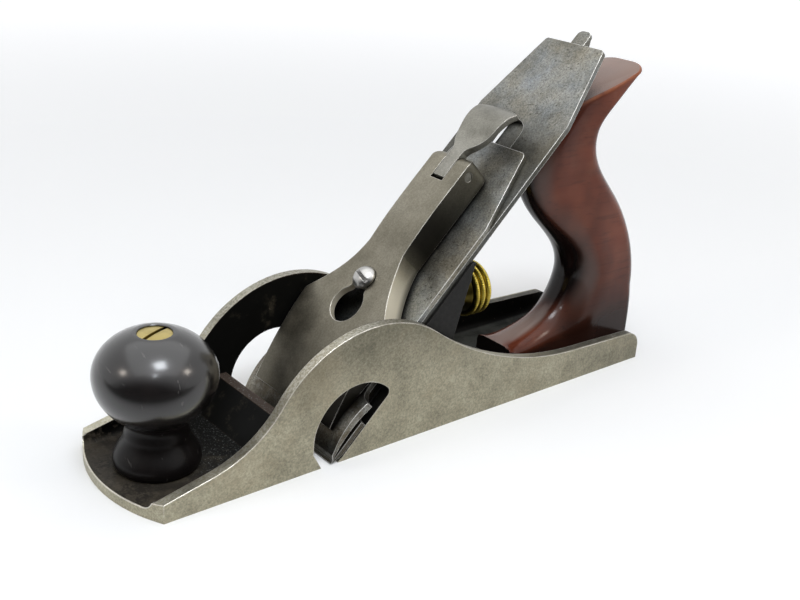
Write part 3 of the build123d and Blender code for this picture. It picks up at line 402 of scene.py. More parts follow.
def lever_cap_finish():
    """Lever cap: worn iron on its front, pale shoulder sides, dark neck sides that clear towards the fork.

    It is darker towards its low end and in its hollows, and near black in the corner beside the body's wall,
    where that wall's shadow is painted.
    """
    dark, middle, light = (0.176, 0.161, 0.123), (0.230, 0.211, 0.164), (0.282, 0.261, 0.208)
    pale, black, dull = (0.640, 0.580, 0.455), (0.012, 0.011, 0.009), (0.036, 0.032, 0.023)
    near_black, bright = (0.008, 0.007, 0.0055), (0.72, 0.70, 0.65)
    paint = Paint("lever_cap_iron")
    bare = iron_tone(paint, dark, middle, light, 50.0, 0.40)
    front = paint.facing((BED_SLOPE, 0.0, BED_SLOPE))
    side = paint.span(paint.math("ABSOLUTE", front), 0.75, 0.35)
    x, y, z = paint.axes()
    along = paint.math("SUBTRACT", z, x)
    neck = paint.span(along, 40.0 * MM, 62.0 * MM)
    neck = paint.product(neck, paint.span(along, 70.0 * MM, 112.0 * MM, 1.0, 0.35))
    above_bed = paint.math("MULTIPLY_ADD", paint.math("ADD", x, z), BED_SLOPE, -BED_LEVEL)
    low = paint.span(above_bed, 9.0 * MM, 5.5 * MM, 0.0, 0.7)
    dark_side = paint.product(side, paint.math("MAXIMUM", paint.product(neck, 0.97), low))
    shoulder = paint.span(along, 0.0, 14.0 * MM)
    shoulder = paint.product(shoulder, paint.span(along, 28.0 * MM, 54.0 * MM, 1.0, 0.0))
    shoulder = paint.product(side, shoulder)
    colour = paint.mix(shoulder, bare, pale)
    colour = paint.mix(dark_side, colour, black)
    # Darker towards the low end
    colour = paint.mix(paint.span(along, 10.0 * MM, -36.0 * MM, 0.0, 0.54), colour, dull)
    # Darker in the hollows, and a painted shadow of the body's wall on the low corner beside it, on the +y
    # side
    hollow_share = paint.span(paint.openness(4.0 * MM), 0.2, 0.7, 0.5, 0.0)
    wall_shadow = paint.product(paint.span(y, 8.0 * MM, 15.0 * MM), paint.span(z, 33.0 * MM, 26.0 * MM, 0.0, 0.95))
    colour = paint.mix(paint.math("MAXIMUM", hollow_share, wall_shadow), colour, near_black)
    worn = paint.worn_edges(0.55 * MM)
    colour = paint.mix(paint.product(worn, 0.8), colour, bright)
    rough = paint.span(paint.noise(120.0, 5.0, 0.6, 61.0), 0.3, 0.7, 0.32, 0.46)
    rough = paint.math("MULTIPLY_ADD", dark_side, 0.15, rough)
    paint.bump(paint.noise(1100.0, 3.0, 0.6, 63.0), 0.02 * MM, 0.5, paint.round_normal(0.45 * MM))
    metal = paint.math("MULTIPLY_ADD", shoulder, -0.6, 0.95)
    return paint.shade({"Base Color": colour, "Metallic": metal, "Roughness": rough})


def cam_finish():
    """Cam lever: smooth handled iron, darker in its hollows, with rubbed edges."""
    dark, middle, light = (0.178, 0.171, 0.146), (0.242, 0.233, 0.201), (0.294, 0.283, 0.249)
    near_black, bright = (0.030, 0.028, 0.024), (0.72, 0.70, 0.66)
    paint = Paint("cam_iron")
    bare = iron_tone(paint, dark, middle, light, 70.0, 0.40)
    # Darker in the hollows
    hollow_share = paint.span(paint.openness(3.0 * MM), 0.3, 0.8, 0.7, 0.0)
    colour = paint.mix(hollow_share, bare, near_black)
    worn = paint.worn_edges(0.4 * MM)
    colour = paint.mix(paint.product(worn, 0.7), colour, bright)
    paint.bump(paint.noise(900.0, 3.0, 0.6, 71.0), 0.012 * MM, 0.5, paint.round_normal(0.4 * MM))
    return paint.shade({"Base Color": colour, "Metallic": 0.95, "Roughness": 0.38})


def cutter_finish(name, dark, middle, light, seed, lower_shade_and_dirt):
    """Cutter and cap iron: gritty grey steel with pits, bluish and brown stains, and bright long edges.

    A share of painted shade and dirt darkens it below its upper end and where other parts lie near, and its
    low end is rusty.
    """
    brownish, plain, bluish = (1.0, 0.90, 0.74), (1.0, 1.0, 1.0), (0.80, 0.90, 1.08)
    dirt, rusty, pitted = (0.040, 0.037, 0.029), (0.070, 0.050, 0.026), (0.040, 0.036, 0.028)
    near_black, bright = (0.032, 0.030, 0.025), (0.80, 0.79, 0.76)
    paint = Paint(name)
    bare = iron_tone(paint, dark, middle, light, seed, 0.75)
    tint = paint.noise(60.0, 5.0, 0.6, seed + 5)
    tint = paint.ramp(tint, [(0.35, brownish), (0.50, plain), (0.66, bluish)])
    colour = paint.mix(0.6, bare, tint, "MULTIPLY")
    stain = paint.span(paint.noise(150.0, 6.0, 0.7, seed + 9), 0.50, 0.66, 0.0, 0.25)
    colour = paint.mix(stain, colour, tuple(0.35 * channel for channel in dark))
    x, _, z = paint.axes()
    # Painted shade and dirt: a share of dark below the upper end
    covered_shade_and_dirt = paint.span(paint.math("SUBTRACT", z, x), 165.0 * MM, 135.0 * MM, 0.0, 0.66)
    colour = paint.mix(paint.product(covered_shade_and_dirt, lower_shade_and_dirt), colour, dirt)
    rust = paint.span(paint.noise(130.0, 5.0, 0.65, seed + 10), 0.40, 0.62, 0.15, 0.7)
    rust = paint.product(rust, paint.span(z, 30.0 * MM, 16.0 * MM))
    colour = paint.mix(rust, colour, rusty)
    pits = paint.span(paint.noise(1000.0, 3.0, 0.75, seed + 6), 0.42, 0.33)
    colour = paint.mix(paint.product(pits, 0.8), colour, pitted)
    # Painted shade and dirt: darker where other parts lie near, as beside the paddle and the cap iron
    hollow_share = paint.span(paint.openness(10.0 * MM), 0.2, 0.8, 0.75, 0.0)
    colour = paint.mix(hollow_share, colour, near_black)
    worn = paint.worn_edges(0.4 * MM, 0.3, 0.5)
    colour = paint.mix(paint.product(worn, 0.9), colour, bright)
    rough = paint.span(paint.noise(140.0, 5.0, 0.6, seed + 7), 0.3, 0.7, 0.36, 0.52)
    height = paint.math("SUBTRACT", paint.noise(700.0, 4.0, 0.7, seed + 8), paint.product(pits, 0.5))
    paint.bump(height, 0.03 * MM, 0.6, paint.round_normal(0.35 * MM))
    return paint.shade({"Base Color": colour, "Metallic": 0.95, "Roughness": rough})


def polished_steel_finish(name, tone, rough):
    """Screws, pins and studs: bright steel, tarnished in patches, and darker in the hollows."""
    near_black = (0.012, 0.011, 0.009)
    paint = Paint(name)
    tarnish = paint.noise(260.0, 4.0, 0.6, 81.0)
    colour = paint.ramp(tarnish, [(0.30, tuple(0.7 * channel for channel in tone)), (0.65, tone)])
    # Darker in the hollows
    hollow_share = paint.span(paint.openness(1.6 * MM), 0.4, 0.9, 0.97, 0.0)
    colour = paint.mix(hollow_share, colour, near_black)
    paint.bump(tarnish, 0.01 * MM, 0.4, paint.round_normal(0.25 * MM))
    return paint.shade({"Base Color": colour, "Metallic": 1.0, "Roughness": rough})


def black_iron_finish():
    """Frog casting: black enamel with a fine cast texture and small worn corners."""
    black, lighter, bare = (0.006, 0.006, 0.0055), (0.014, 0.013, 0.012), (0.20, 0.19, 0.17)
    paint = Paint("black_iron")
    cast = paint.noise(700.0, 4.0, 0.6, 91.0)
    colour = paint.ramp(cast, [(0.3, black), (0.7, lighter)])
    worn = paint.worn_edges(0.4 * MM)
    colour = paint.mix(paint.product(worn, 0.3), colour, bare)
    paint.bump(cast, 0.05 * MM, 0.5, paint.round_normal(0.4 * MM))
    return paint.shade({"Base Color": colour, "Metallic": 0.0, "Roughness": 0.45, "Specular IOR Level": 0.16})


def brass_finish(name, light, dark, rough, shade_and_grime_from):
    """Aged brass: yellow with brown patches, olive in the hollows, and nearly black ahead of a length along
    x, as painted shade and grime.
    """
    olive, black = (0.050, 0.034, 0.006), (0.012, 0.009, 0.004)
    paint = Paint(name)
    tarnish = paint.noise(300.0, 5.0, 0.65, 101.0)
    colour = paint.ramp(tarnish, [(0.30, dark), (0.60, light)])
    hollow_share = paint.span(paint.openness(1.5 * MM), 0.35, 0.85, 0.85, 0.0)
    colour = paint.mix(hollow_share, colour, olive)
    x, _, _ = paint.axes()
    # Painted shade and grime: nearly black ahead of the given length along x
    colour = paint.mix(paint.span(x, shade_and_grime_from - 1.5 * MM, shade_and_grime_from, 0.0, 0.93), colour, black)
    paint.bump(tarnish, 0.01 * MM, 0.4, paint.round_normal(0.2 * MM))
    return paint.shade({"Base Color": colour, "Metallic": 1.0, "Roughness": rough})


def rosewood_finish():
    """Handle: red-brown wood with dark pores and soft bands along the grain, darker in patches, with painted
    shade behind.

    Its top is pale and worn, with a reddish edge, a painted reflection lies as a pale band down the corner
    between side and front, and the front is painted black as shade and dark reflection. Painted shade darkens
    the hollows, and the foot is darker.
    """
    dark, middle, light = (0.082, 0.0200, 0.0110), (0.150, 0.0385, 0.0190), (0.205, 0.0600, 0.0300)
    pore_brown, worn_brown = (0.030, 0.009, 0.006), (0.175, 0.068, 0.040)
    patch_brown, back_shade_brown = (0.045, 0.0115, 0.0070), (0.020, 0.0070, 0.0050)
    corner_reflection_grey, front_shade_black = (0.094, 0.070, 0.062), (0.004, 0.003, 0.003)
    edge_red, top_pale, near_black = (0.300, 0.095, 0.038), (0.215, 0.150, 0.125), (0.010, 0.005, 0.004)
    reflection_way, under_way = (0.66, 0.75, 0.0), (0.75, 0.0, -0.66)
    grain_slope = math.radians(58.0)
    paint = Paint("red_wood")
    bands = paint.noise(60.0, 4.0, 0.55, 111.0, (0.20, 1.0, 1.0), grain_slope)
    pores = paint.noise(620.0, 3.0, 0.6, 112.0, (0.09, 1.0, 1.0), grain_slope)
    wear = paint.noise(40.0, 5.0, 0.62, 113.0)
    wood = paint.ramp(bands, [(0.28, dark), (0.50, middle), (0.74, light)])
    wood = paint.mix(paint.span(pores, 0.46, 0.32, 0.0, 0.32), wood, pore_brown)
    wood = paint.mix(paint.span(wear, 0.46, 0.72, 0.0, 0.55), wood, worn_brown)
    patches = paint.noise(30.0, 3.0, 0.5, 114.0, (1.0, 1.0, 0.6))
    wood = paint.mix(paint.span(patches, 0.42, 0.60, 0.0, 0.6), wood, patch_brown)
    # Painted shade: faces turned backwards are darker
    wood = paint.mix(paint.span(paint.facing(BACKWARD), 0.25, 0.85, 0.0, 0.35), wood, back_shade_brown)
    # Painted reflection: a pale grey band on the faces turned towards the front and the near side
    wood = paint.mix(paint.span(paint.facing(reflection_way), 0.86, 0.97, 0.0, 0.75), wood, corner_reflection_grey)
    # Painted shade and painted dark reflection: faces turned forwards, or down and forwards, go black
    front_shade = paint.math("MAXIMUM", paint.facing(FORWARD), paint.facing(under_way))
    wood = paint.mix(paint.span(front_shade, 0.50, 0.84, 0.0, 0.98), wood, front_shade_black)
    x, _, z = paint.axes()
    height = paint.math("MULTIPLY_ADD", x, TOP_LEAN[0], paint.product(z, TOP_LEAN[1]))
    edge = paint.span(height, TOP_HEIGHT - 1.6 * MM, TOP_HEIGHT - 0.4 * MM)
    edge = paint.product(edge, paint.span(wear, 0.35, 0.6))
    wood = paint.mix(paint.product(edge, 0.8), wood, edge_red)
    top = paint.span(paint.facing((TOP_LEAN[0], 0.0, TOP_LEAN[1])), 0.90, 0.99)
    wood = paint.mix(paint.product(top, 0.9), wood, top_pale)
    # Painted shade where the irons and other parts lie near; the wood is also darker low down towards the
    # foot
    hollow_shade = paint.span(paint.openness(26.0 * MM), 0.25, 0.9, 0.85, 0.0)
    foot = paint.product(paint.span(z, 32.0 * MM, 11.0 * MM), paint.span(x, -64.0 * MM, -84.0 * MM))
    wood = paint.mix(paint.math("MAXIMUM", hollow_shade, paint.product(foot, 0.88)), wood, near_black)
    rough = paint.span(wear, 0.3, 0.7, 0.13, 0.22)
    paint.bump(pores, 0.02 * MM, 0.35)
    return paint.shade({"Base Color": wood, "Roughness": rough, "Specular IOR Level": 0.22})


def dark_wood_finish(name, gloss, rough_low, rough_high):
    """Front knob: nearly black wood with faint grain, dents and pale scratches, under a rubbed polish."""
    dark, light = (0.0040, 0.0034, 0.0034), (0.0085, 0.0065, 0.0062)
    hazy, scratched = (0.018, 0.013, 0.012), (0.090, 0.084, 0.080)
    paint = Paint(name)
    grain = paint.noise(160.0, 5.0, 0.6, 121.0, (1.0, 1.0, 0.12))
    wood = paint.ramp(grain, [(0.30, dark), (0.70, light)])
    haze = paint.noise(45.0, 5.0, 0.65, 122.0)
    wood = paint.mix(paint.span(haze, 0.55, 0.75, 0.0, 0.5), wood, hazy)
    dents = paint.noise(380.0, 3.0, 0.6, 123.0)
    scratch = paint.noise(900.0, 2.0, 0.5, 124.0, (1.0, 0.10, 0.35))
    wood = paint.mix(paint.span(scratch, 0.69, 0.74, 0.0, 0.45), wood, scratched)
    rough = paint.span(haze, 0.3, 0.7, rough_low, rough_high)
    paint.bump(dents, 0.025 * MM, 0.35)
    paint.shade({"Base Color": wood, "Roughness": rough, "Specular IOR Level": 0.5 * gloss})
    return paint.shade({"Coat Weight": 0.5 * gloss, "Coat Roughness": 0.17})


def add_surface(name, points, wrap_rows, material):
    """A mesh from a grid of points: each cell between neighbours is one face, and the columns close up."""
    rows, columns = points.shape[:2]
    row = np.arange(rows if wrap_rows else rows - 1)
    row, column = (part.ravel() for part in np.meshgrid(row, np.arange(columns), indexing="ij"))
    next_row = (row + 1) % rows
    next_column = (column + 1) % columns
    corners = np.stack(
        [
            row * columns + column,
            next_row * columns + column,
            next_row * columns + next_column,
            row * columns + next_column,
        ],
        axis=1,
    )
    mesh = bpy.data.meshes.new(name)
    mesh.from_pydata(points.reshape(-1, 3).tolist(), [], corners.tolist())
    mesh.polygons.foreach_set("use_smooth", np.ones(len(mesh.polygons), bool))
    mesh.set_sharp_from_angle(angle=SHARP_ANGLE)
    mesh.materials.append(material)
    piece = bpy.data.objects.new(name, mesh)
    bpy.context.scene.collection.objects.link(piece)
    return piece


def smooth_run(first, last, slope_first, slope_last, count):
    """Radius along a height by a cubic with given radii and slopes at both ends, its last point left out."""
    share = np.linspace(0.0, 1.0, count, endpoint=False)
    length = last[0] - first[0]
    radius = (
        (2 * share**3 - 3 * share**2 + 1) * first[1]
        + (share**3 - 2 * share**2 + share) * length * slope_first
        + (-2 * share**3 + 3 * share**2) * last[1]
        + (share**3 - share**2) * length * slope_last
    )
    return np.stack([first[0] + share * length, radius], axis=1)


def knob_profile():
    """Closed outline of the turned knob, as rows of height and radius in mm, and how many rows are dull.

    A rounded bell foot, two cubics through the waist, a lower and an upper half ellipse, a flat top,
    the nut's seat and the bore. The bell, the lower cubic and most of the upper one are dull.
    """
    foot, base, waist, ball, belly = 3.4, 13.8, 10.3, 19.2, 34.3
    lower, upper, neck, top = 17.0, 14.8, 11.6, 48.2
    bell_rise, bell_round, bell_turn = 2.6, 1.6, 80.0
    waist_height, waist_slope = 14.2, -0.12
    seat_rim, seat_radius, seat_depth, chamfer, bore = 5.6, 5.42, 3.0, 0.15, 4.34
    bell_rows, cubic_rows, dull_cubic_rows, lower_rows, upper_rows = 12, 20, 16, 24, 36
    turn = math.acos(neck / ball)
    widest = (foot + bell_rise, base)
    middle = (waist_height, waist)
    end = (belly - lower * math.sin(turn), neck)
    bell = np.radians(np.linspace(-bell_turn, 0.0, bell_rows, endpoint=False))
    bell_height = widest[0] + bell_rise * np.sin(bell) / math.sin(math.radians(bell_turn))
    bell = np.stack([bell_height, base - bell_round + bell_round * np.cos(bell)], axis=1)
    ball_slope = ball * math.sin(turn) / (lower * math.cos(turn))
    lower_run = smooth_run(widest, middle, 0.0, waist_slope, cubic_rows)
    upper_run = smooth_run(middle, end, waist_slope, ball_slope, cubic_rows)
    below = np.linspace(-turn, 0.0, lower_rows, endpoint=False)
    below = np.stack([belly + lower * np.sin(below), ball * np.cos(below)], axis=1)
    over = np.linspace(0.0, math.asin((top - belly) / upper), upper_rows)
    over = np.stack([belly + upper * np.sin(over), ball * np.cos(over)], axis=1)
    seat = [(top, seat_rim), (top - chamfer, seat_radius), (top - seat_depth, seat_radius)]
    seat += [(top - seat_depth, bore), (foot, bore), (foot, bell[0, 1] - 0.1)]
    outline = np.concatenate([bell, lower_run, upper_run, below, over, np.array(seat)])
    return outline, bell_rows + cubic_rows + dull_cubic_rows


def nut_profile():
    """Closed outline of the depth nut, as rows of length along the stud and radius in mm, and its knurl.

    A flange, a groove for the fork, a tapered shoulder, three narrow round-topped ridges and a hub.
    The knurl is the depth of the teeth at each row: full on the crests of the ridges and nothing elsewhere.
    """
    front, flange_end, groove_end, wheel_start, wheel_end, rear = -18.8, -20.6, -25.2, -28.4, -36.8, -39.0
    flange_radius, groove_radius, wheel_radius, hub_radius, bore = 7.6, 5.0, 10.3, 6.2, 3.24
    chamfer, shoulder_start, shoulder_end, wheel_edge = 0.4, 3.2, 1.9, 1.8
    ridge_count, ridge_height, ridge_rows, tooth_depth = 3, 1.7, 61, 0.20
    head = [(front, bore), (front, flange_radius - chamfer), (front - chamfer, flange_radius)]
    head += [(flange_end + chamfer, flange_radius), (flange_end, flange_radius - chamfer)]
    head += [(flange_end, groove_radius), (groove_end, groove_radius)]
    head += [(groove_end, wheel_radius - shoulder_start), (wheel_start, wheel_radius - shoulder_end)]
    along = np.linspace(0.0, 1.0, ridge_rows)
    crest = np.abs(np.sin(ridge_count * np.pi * along)) ** 0.8
    ridge_radius = wheel_radius - ridge_height + ridge_height * crest
    ridges = np.stack([wheel_start + along * (wheel_end - wheel_start), ridge_radius], axis=1)
    tail = [(wheel_end, wheel_radius - wheel_edge), (wheel_end, hub_radius)]
    tail += [(rear + chamfer, hub_radius), (rear, hub_radius - chamfer), (rear, bore)]
    outline = np.concatenate([np.array(head), ridges, np.array(tail)])
    knurl = np.concatenate([np.zeros(len(head)), tooth_depth * crest**3, np.zeros(len(tail))])
    return outline, knurl


def add_knob(polished):
    """Front knob: its outline turned about an upright axis, polished on the ball and dull below it."""
    outline, dull_rows = knob_profile()
    angle = np.linspace(0.0, 2 * np.pi, 128, endpoint=False)[:, None]
    height, radius = outline[None, :, 0], outline[None, :, 1]
    along, across = KNOB_AXIS + radius * np.cos(angle), radius * np.sin(angle)
    points = np.stack([along, across, height + 0 * angle], axis=2)
    knob = add_surface("turned_knob", points[::-1] * MM, True, polished)
    knob.data.materials.append(dark_wood_finish("dull_wood", 0.22, 0.34, 0.42))
    dull = np.tile(np.arange(len(outline)) < dull_rows, len(angle))
    knob.data.polygons.foreach_set("material_index", dull.astype(np.int32))
    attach(knob, "body")
    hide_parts("front_knob")


def spline_run(points, count):
    """Points spread evenly along a curve through the given ones: a natural cubic spline over chord length."""
    fine_count = 1500
    points = np.array(points)
    step = np.linalg.norm(np.diff(points, axis=0), axis=1)
    knots = np.concatenate([[0.0], np.cumsum(step)])
    system = np.eye(len(points))
    pull = np.zeros(points.shape)
    for row in range(1, len(points) - 1):
        system[row, row - 1 : row + 2] = (step[row - 1], 2 * (step[row - 1] + step[row]), step[row])
        slope_after = (points[row + 1] - points[row]) / step[row]
        slope_before = (points[row] - points[row - 1]) / step[row - 1]
        pull[row] = 6 * (slope_after - slope_before)
    bend = np.linalg.solve(system, pull)
    at = np.linspace(0.0, knots[-1], fine_count)
    index = np.clip(np.searchsorted(knots, at, side="right") - 1, 0, len(points) - 2)
    left, past, wide = (part[:, None] for part in (knots[index + 1] - at, at - knots[index], step[index]))
    curve = (bend[index] * left**3 + bend[index + 1] * past**3) / (6 * wide)
    curve += (points[index] / wide - bend[index] * wide / 6) * left
    curve += (points[index + 1] / wide - bend[index + 1] * wide / 6) * past
    return even_run(curve, count)


def even_run(curve, count):
    """Points spread evenly along a chain of straight steps."""
    reach = np.concatenate([[0.0], np.cumsum(np.linalg.norm(np.diff(curve, axis=0), axis=1))])
    at = np.linspace(0.0, reach[-1], count)
    return np.stack([np.interp(at, reach, curve[:, axis]) for axis in (0, 1)], axis=1)


def handle_rows():
    """Front and rear ends of the handle's cross sections, from the side, and the rounding at both, in mm.

    The sections start at the lower edge of the toe, climb its end face, run back along it to the throat while
    their rear ends follow the sole and the heel, and then climb the grip to the sloping top.
    """
    toe, heel, foot, toe_top = -50.4, -116.8, 3.4, 9.9
    first_reach, last_reach = 0.3, 7.6
    edge_round, toe_corner, grip_front_round, grip_rear_round, top_growth = 0.4, 4.2, 17.0, 6.5, 2.0
    heel_climb = 20.0
    end_rows, toe_rows, grip_rows, curve_points = 14, 70, 100, 400
    front_curve = spline_run(
        [(toe, toe_top), (-58.0, 10.8), (-66.0, 12.6), (-74.0, 15.6), (-79.8, 20.0), (-83.9, 26.4)]
        + [(-85.4, 34.0), (-76.6, 48.2), (-61.4, 63.4), (-55.4, 76.4), (-56.0, 86.0), (-59.6, 94.0)]
        + [(-62.4, 99.2)],
        curve_points,
    )
    throat = int(np.argmin(front_curve[:, 0]))
    rear_curve = spline_run(
        [(heel, foot), (-119.3, 24.0), (-114.2, 45.0), (-100.3, 66.0), (-87.8, 83.0), (-87.6, 94.4)]
        + [(-94.6, 104.0), (-102.6, 111.4), (-107.2, 115.2)],
        curve_points,
    )
    knee = int(np.argmin(rear_curve[:, 0]))
    end_height = np.linspace(foot + 0.1, toe_top, end_rows)
    end_front = np.stack([np.full(end_rows, toe), end_height], axis=1)
    end_reach = np.linspace(toe - first_reach, toe - last_reach, end_rows)
    end_rear = np.stack([end_reach, np.full(end_rows, foot)], axis=1)
    toe_front = even_run(front_curve[: throat + 1], toe_rows)
    sole = np.array([(toe - last_reach, foot), (heel, foot)])
    toe_rear = even_run(np.concatenate([sole, rear_curve[: knee + 1]]), toe_rows)
    grip_front = even_run(front_curve[throat:], grip_rows)
    grip_rear = even_run(rear_curve[knee:], grip_rows)
    front = np.concatenate([end_front, toe_front[1:], grip_front[1:]])
    rear = np.concatenate([end_rear, toe_rear[1:], grip_rear[1:]])
    over = np.clip(end_height - (toe_top - toe_corner), 0.0, toe_corner)
    end_round = np.maximum(edge_round, toe_corner - np.sqrt(toe_corner**2 - over**2))
    along_toe = np.linspace(0.0, 1.0, toe_rows)[1:]
    toe_round = toe_corner + (grip_front_round - toe_corner) * np.sqrt(along_toe)
    front_round = np.concatenate([end_round, toe_round, np.full(grip_rows - 1, grip_front_round)])
    heel_rise = np.clip((toe_rear[1:, 1] - foot) / heel_climb, 0.0, 1.0)
    heel_round = edge_round + (grip_rear_round - edge_round) * heel_rise
    climb = np.linspace(0.0, 1.0, grip_rows)[1:]
    grip_round = grip_rear_round + top_growth * climb**3
    rear_round = np.concatenate([np.full(end_rows, edge_round), heel_round, grip_round])
    return front, rear, front_round, rear_round


def handle_section(front, rear, front_round, rear_round):
    """One closed cross section between its two ends: flat sides and quarter rounds, slimmer along the toe."""
    flat_points, round_points, side_points = 4, 10, 14
    half_width, slimming, slim_start, slim_length, least_flat = 12.0, 2.6, -94.0, 24.0, 1.0
    length = np.linalg.norm(rear - front)
    turn = np.linspace(0.0, 0.5 * np.pi, round_points)
    flat = np.linspace(0.0, 1.0, flat_points, endpoint=False)
    side = np.linspace(front_round, length - rear_round, side_points + 2)[1:-1]
    along = np.concatenate([0 * flat, front_round * (1 - np.cos(turn)), side])
    along = np.concatenate([along, length - rear_round * (1 - np.sin(turn)), length + 0 * flat])
    spot = front + (rear - front) * (along / length)[:, None]
    slim = np.clip((spot[:, 0] - slim_start) / slim_length, 0.0, 1.0)
    half = half_width - slimming * slim**2 * (3 - 2 * slim)
    front_side = min(front_round, half[0] - least_flat)
    cuts = np.cumsum([flat_points, round_points, side_points, round_points])
    front_half, rise_half, side_half, fall_half, rear_half = np.split(half, cuts)
    out = np.concatenate(
        [
            flat * (front_half - front_side),
            rise_half - front_side * (1 - np.sin(turn)),
            side_half,
            fall_half - rear_round * (1 - np.cos(turn)),
            flat[::-1] * (rear_half - rear_round),
        ]
    )
    near = np.stack([spot[:, 0], out, spot[:, 1]], axis=1)
    return np.concatenate([near, near[-2:0:-1] * (1, -1, 1)])


def add_handle(wood):
    """Rear handle: its cross sections in a row, a rounded edge to the sloping top, and the nut's seat."""
    edge_round, seat_radius, seat_depth, centre = 1.1, 5.4, 3.1, 0.2
    sections = [handle_section(*row) for row in zip(*handle_rows())]
    lift = np.array([TOP_LEAN[0], 0.0, TOP_LEAN[1]])
    seat_middle = np.array([SEAT_MIDDLE[0], 0.0, SEAT_MIDDLE[1]])
    top = sections[-1]
    level = (seat_middle - top) @ lift
    top = top + level[:, None] * lift - edge_round * lift
    sections[-1] = top
    toward = seat_middle - top
    toward -= (toward @ lift)[:, None] * lift
    toward /= np.linalg.norm(toward, axis=1)[:, None]
    for angle in np.radians((30.0, 60.0, 90.0)):
        inward, upward = edge_round * (1 - math.cos(angle)), edge_round * math.sin(angle)
        sections.append(top + inward * toward + upward * lift)
    rim = seat_middle - seat_radius * toward
    sections += [rim, rim - seat_depth * lift, seat_middle - seat_depth * lift - centre * toward]
    handle = add_surface("shaped_handle", np.array(sections) * MM, False, wood)
    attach(handle, "body")
    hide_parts("tote")


def add_depth_nut():
    """Depth nut: its outline turned about the stud, less a knurl of 72 fine teeth on the ridges."""
    light, dark = (0.720, 0.560, 0.105), (0.400, 0.295, 0.050)
    teeth, points_per_tooth = 72, 6
    outline, knurl = nut_profile()
    angle = np.linspace(0.0, 2 * np.pi, points_per_tooth * teeth, endpoint=False)[:, None]
    length = outline[None, :, 0] + 0 * angle
    radius = outline[None, :, 1] - knurl[None, :] * np.sin(0.5 * teeth * angle) ** 2
    points = np.stack([length, radius * np.cos(angle), NUT_AXIS + radius * np.sin(angle)], axis=2)
    # The nut's front taper, ahead of x = -28 mm, is painted black as shade and grime
    brass = brass_finish("knurled_brass", light, dark, 0.30, -28.0 * MM)
    nut = add_surface("knurled_nut", points * MM, True, brass)
    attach(nut, "depth_nut")
    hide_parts("adjuster_nut")


def paint_nodes(red_wood, dark_wood):
    """Gives every CAD node its finish: one of its own, or the one of its material slot."""
    cutter_tones = (0.185, 0.181, 0.160), (0.260, 0.257, 0.232), (0.315, 0.312, 0.290)
    cap_iron_tones = (0.190, 0.182, 0.153), (0.285, 0.277, 0.243), (0.360, 0.352, 0.318)
    brass_tones = (0.520, 0.418, 0.155), (0.390, 0.305, 0.100)
    # A metre along x, ahead of every piece, so that no part of the slotted brass is black
    beyond_all = 1.0
    worn_iron = cam_finish()
    by_slot = {
        "worn_iron": worn_iron,
        "black_iron": black_iron_finish(),
        "cutter_steel": cutter_finish("cutter_steel", *cutter_tones, 130.0, 1.0),
        "steel": polished_steel_finish("steel", (0.48, 0.47, 0.44), 0.32),
        "brass": brass_finish("slotted_brass", *brass_tones, 0.34, beyond_all),
        "red_wood": red_wood,
        "dark_wood": dark_wood,
    }
    by_node = {
        "body_casting": body_finish(),
        "lever_cap": lever_cap_finish(),
        "lever_cap_screw": polished_steel_finish("bright_steel", (0.52, 0.51, 0.49), 0.30),
        "cap_iron": cutter_finish("cap_iron_steel", *cap_iron_tones, 150.0, 0.0),
        "cam_pin": worn_iron,
    }
    for part in frame["record"]["subparts"]:
        name = part["node"]
        piece = nodes[name]
        piece.data.materials.clear()
        piece.data.materials.append(by_node.get(name, by_slot[part["material_slot"]]))


def add_floor():
    """A wide pale floor under the sole, with a glow in the picture and in reflections that grows outwards.

    In reflections it goes dark a hand's width in front of the object.
    """
    size = 6.0
    pale, dark, glow_colour = (0.80, 0.80, 0.80), (0.03, 0.03, 0.03), (0.97, 0.975, 1.0)
    paint = Paint("floor")
    path = paint.add("ShaderNodeLightPath")
    glossy = path.outputs["Is Glossy Ray"]
    seen = paint.math("MAXIMUM", path.outputs["Is Camera Ray"], glossy)
    seen = paint.math("MAXIMUM", seen, path.outputs["Is Transmission Ray"])
    x, y, _ = paint.axes()
    ahead = paint.math("MULTIPLY_ADD", x, AHEAD[0], paint.product(y, AHEAD[1]))
    # A painted dark reflection: in glossy rays the floor is dark from 0.10 m in front onwards
    dark_in_reflections = paint.product(glossy, paint.span(ahead, 0.10, 0.17))
    lit = paint.product(seen, paint.math("SUBTRACT", 1.0, dark_in_reflections))
    away = paint.add("ShaderNodeVectorMath", operation="LENGTH")
    paint.put(away.inputs[0], paint.place)
    glow = paint.span(away.outputs["Value"], 0.15, 1.3, 0.10, 0.74)
    paint.shade({"Base Color": paint.mix(dark_in_reflections, pale, dark), "Roughness": 0.7, "Specular IOR Level": 0.2})
    paint.shade({"Emission Color": glow_colour, "Emission Strength": paint.product(lit, glow)})
    mesh = bpy.data.meshes.new("floor")
    corners = [(-size, -size, 0), (size, -size, 0), (size, size, 0), (-size, size, 0)]
    mesh.from_pydata(corners, [], [(0, 1, 2, 3)])
    mesh.materials.append(paint.material)
    floor = bpy.data.objects.new("floor", mesh)
    bpy.context.scene.collection.objects.link(floor)


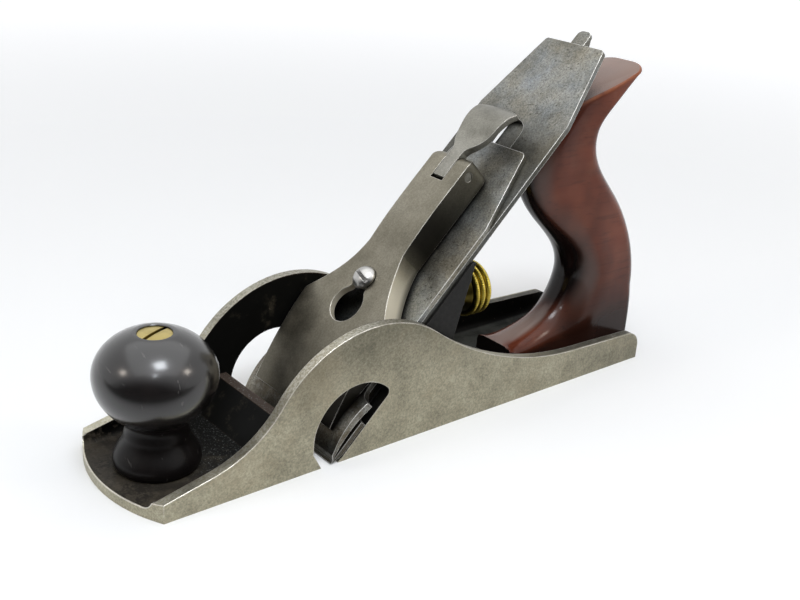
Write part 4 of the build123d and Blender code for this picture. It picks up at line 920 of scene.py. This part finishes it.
def add_light(name, target, azimuth, elevation, distance, size, power, colour):
    """A square area light that faces a target from a direction, angles in degrees."""
    turn, rise = math.radians(azimuth), math.radians(elevation)
    away = Vector((math.cos(rise) * math.cos(turn), math.cos(rise) * math.sin(turn), math.sin(rise)))
    data = bpy.data.lights.new(name, "AREA")
    data.energy = power
    data.size = size
    data.color = colour
    light = bpy.data.objects.new(name, data)
    light.location = Vector(target) + distance * away
    light.rotation_euler = (-away).to_track_quat("-Z", "Y").to_euler()
    bpy.context.scene.collection.objects.link(light)


def set_world():
    """A white surround whose reflections are dim in front of the object near the horizon.

    It is a fixed white in the picture, and a weak even light on everything else.
    """
    white, picture_level, light_level, downward = (0.98, 0.99, 1.0), 0.95, 0.25, -0.55
    world = bpy.data.worlds.new("studio")
    world.use_nodes = True
    sky = Tree(world.node_tree)
    place = sky.add("ShaderNodeTexCoord").outputs["Generated"]
    dim = sky.span(sky.dot(place, (*AHEAD, downward)), 0.15, 0.75, 1.0, 0.05)
    path = sky.add("ShaderNodeLightPath")
    glossy = sky.math("MAXIMUM", path.outputs["Is Glossy Ray"], path.outputs["Is Transmission Ray"])
    level = sky.between(glossy, light_level, dim)
    background = world.node_tree.nodes["Background"]
    sky.put(background.inputs[0], white)
    sky.put(background.inputs[1], sky.between(path.outputs["Is Camera Ray"], level, picture_level))
    bpy.context.scene.world = world


add_camera()
handle_wood = rosewood_finish()
knob_wood = dark_wood_finish("dark_wood", 1.0, 0.22, 0.28)
paint_nodes(handle_wood, knob_wood)
add_knob(knob_wood)
add_handle(handle_wood)
add_depth_nut()
add_floor()
set_world()
add_light("ceiling_panel", OBJECT_MIDDLE, 60.0, 88.0, 0.95, 1.6, 8.6, CEILING_WHITE)
add_light("window", KNOB_BALL, 82.0, 70.0, 0.80, 0.22, 2.7, WINDOW_BLUE)
add_light("window_low", KNOB_BALL, 61.0, 49.0, 0.80, 0.07, 0.31, WINDOW_BLUE)
add_light("lamp_left", KNOB_BALL, -11.0, 36.0, 0.80, 0.12, 0.55, LAMP_YELLOW)
add_light("lamp_right", KNOB_BALL, 133.0, 35.0, 0.80, 0.12, 0.55, LAMP_YELLOW)
bpy.context.scene.view_settings.view_transform = "Standard"
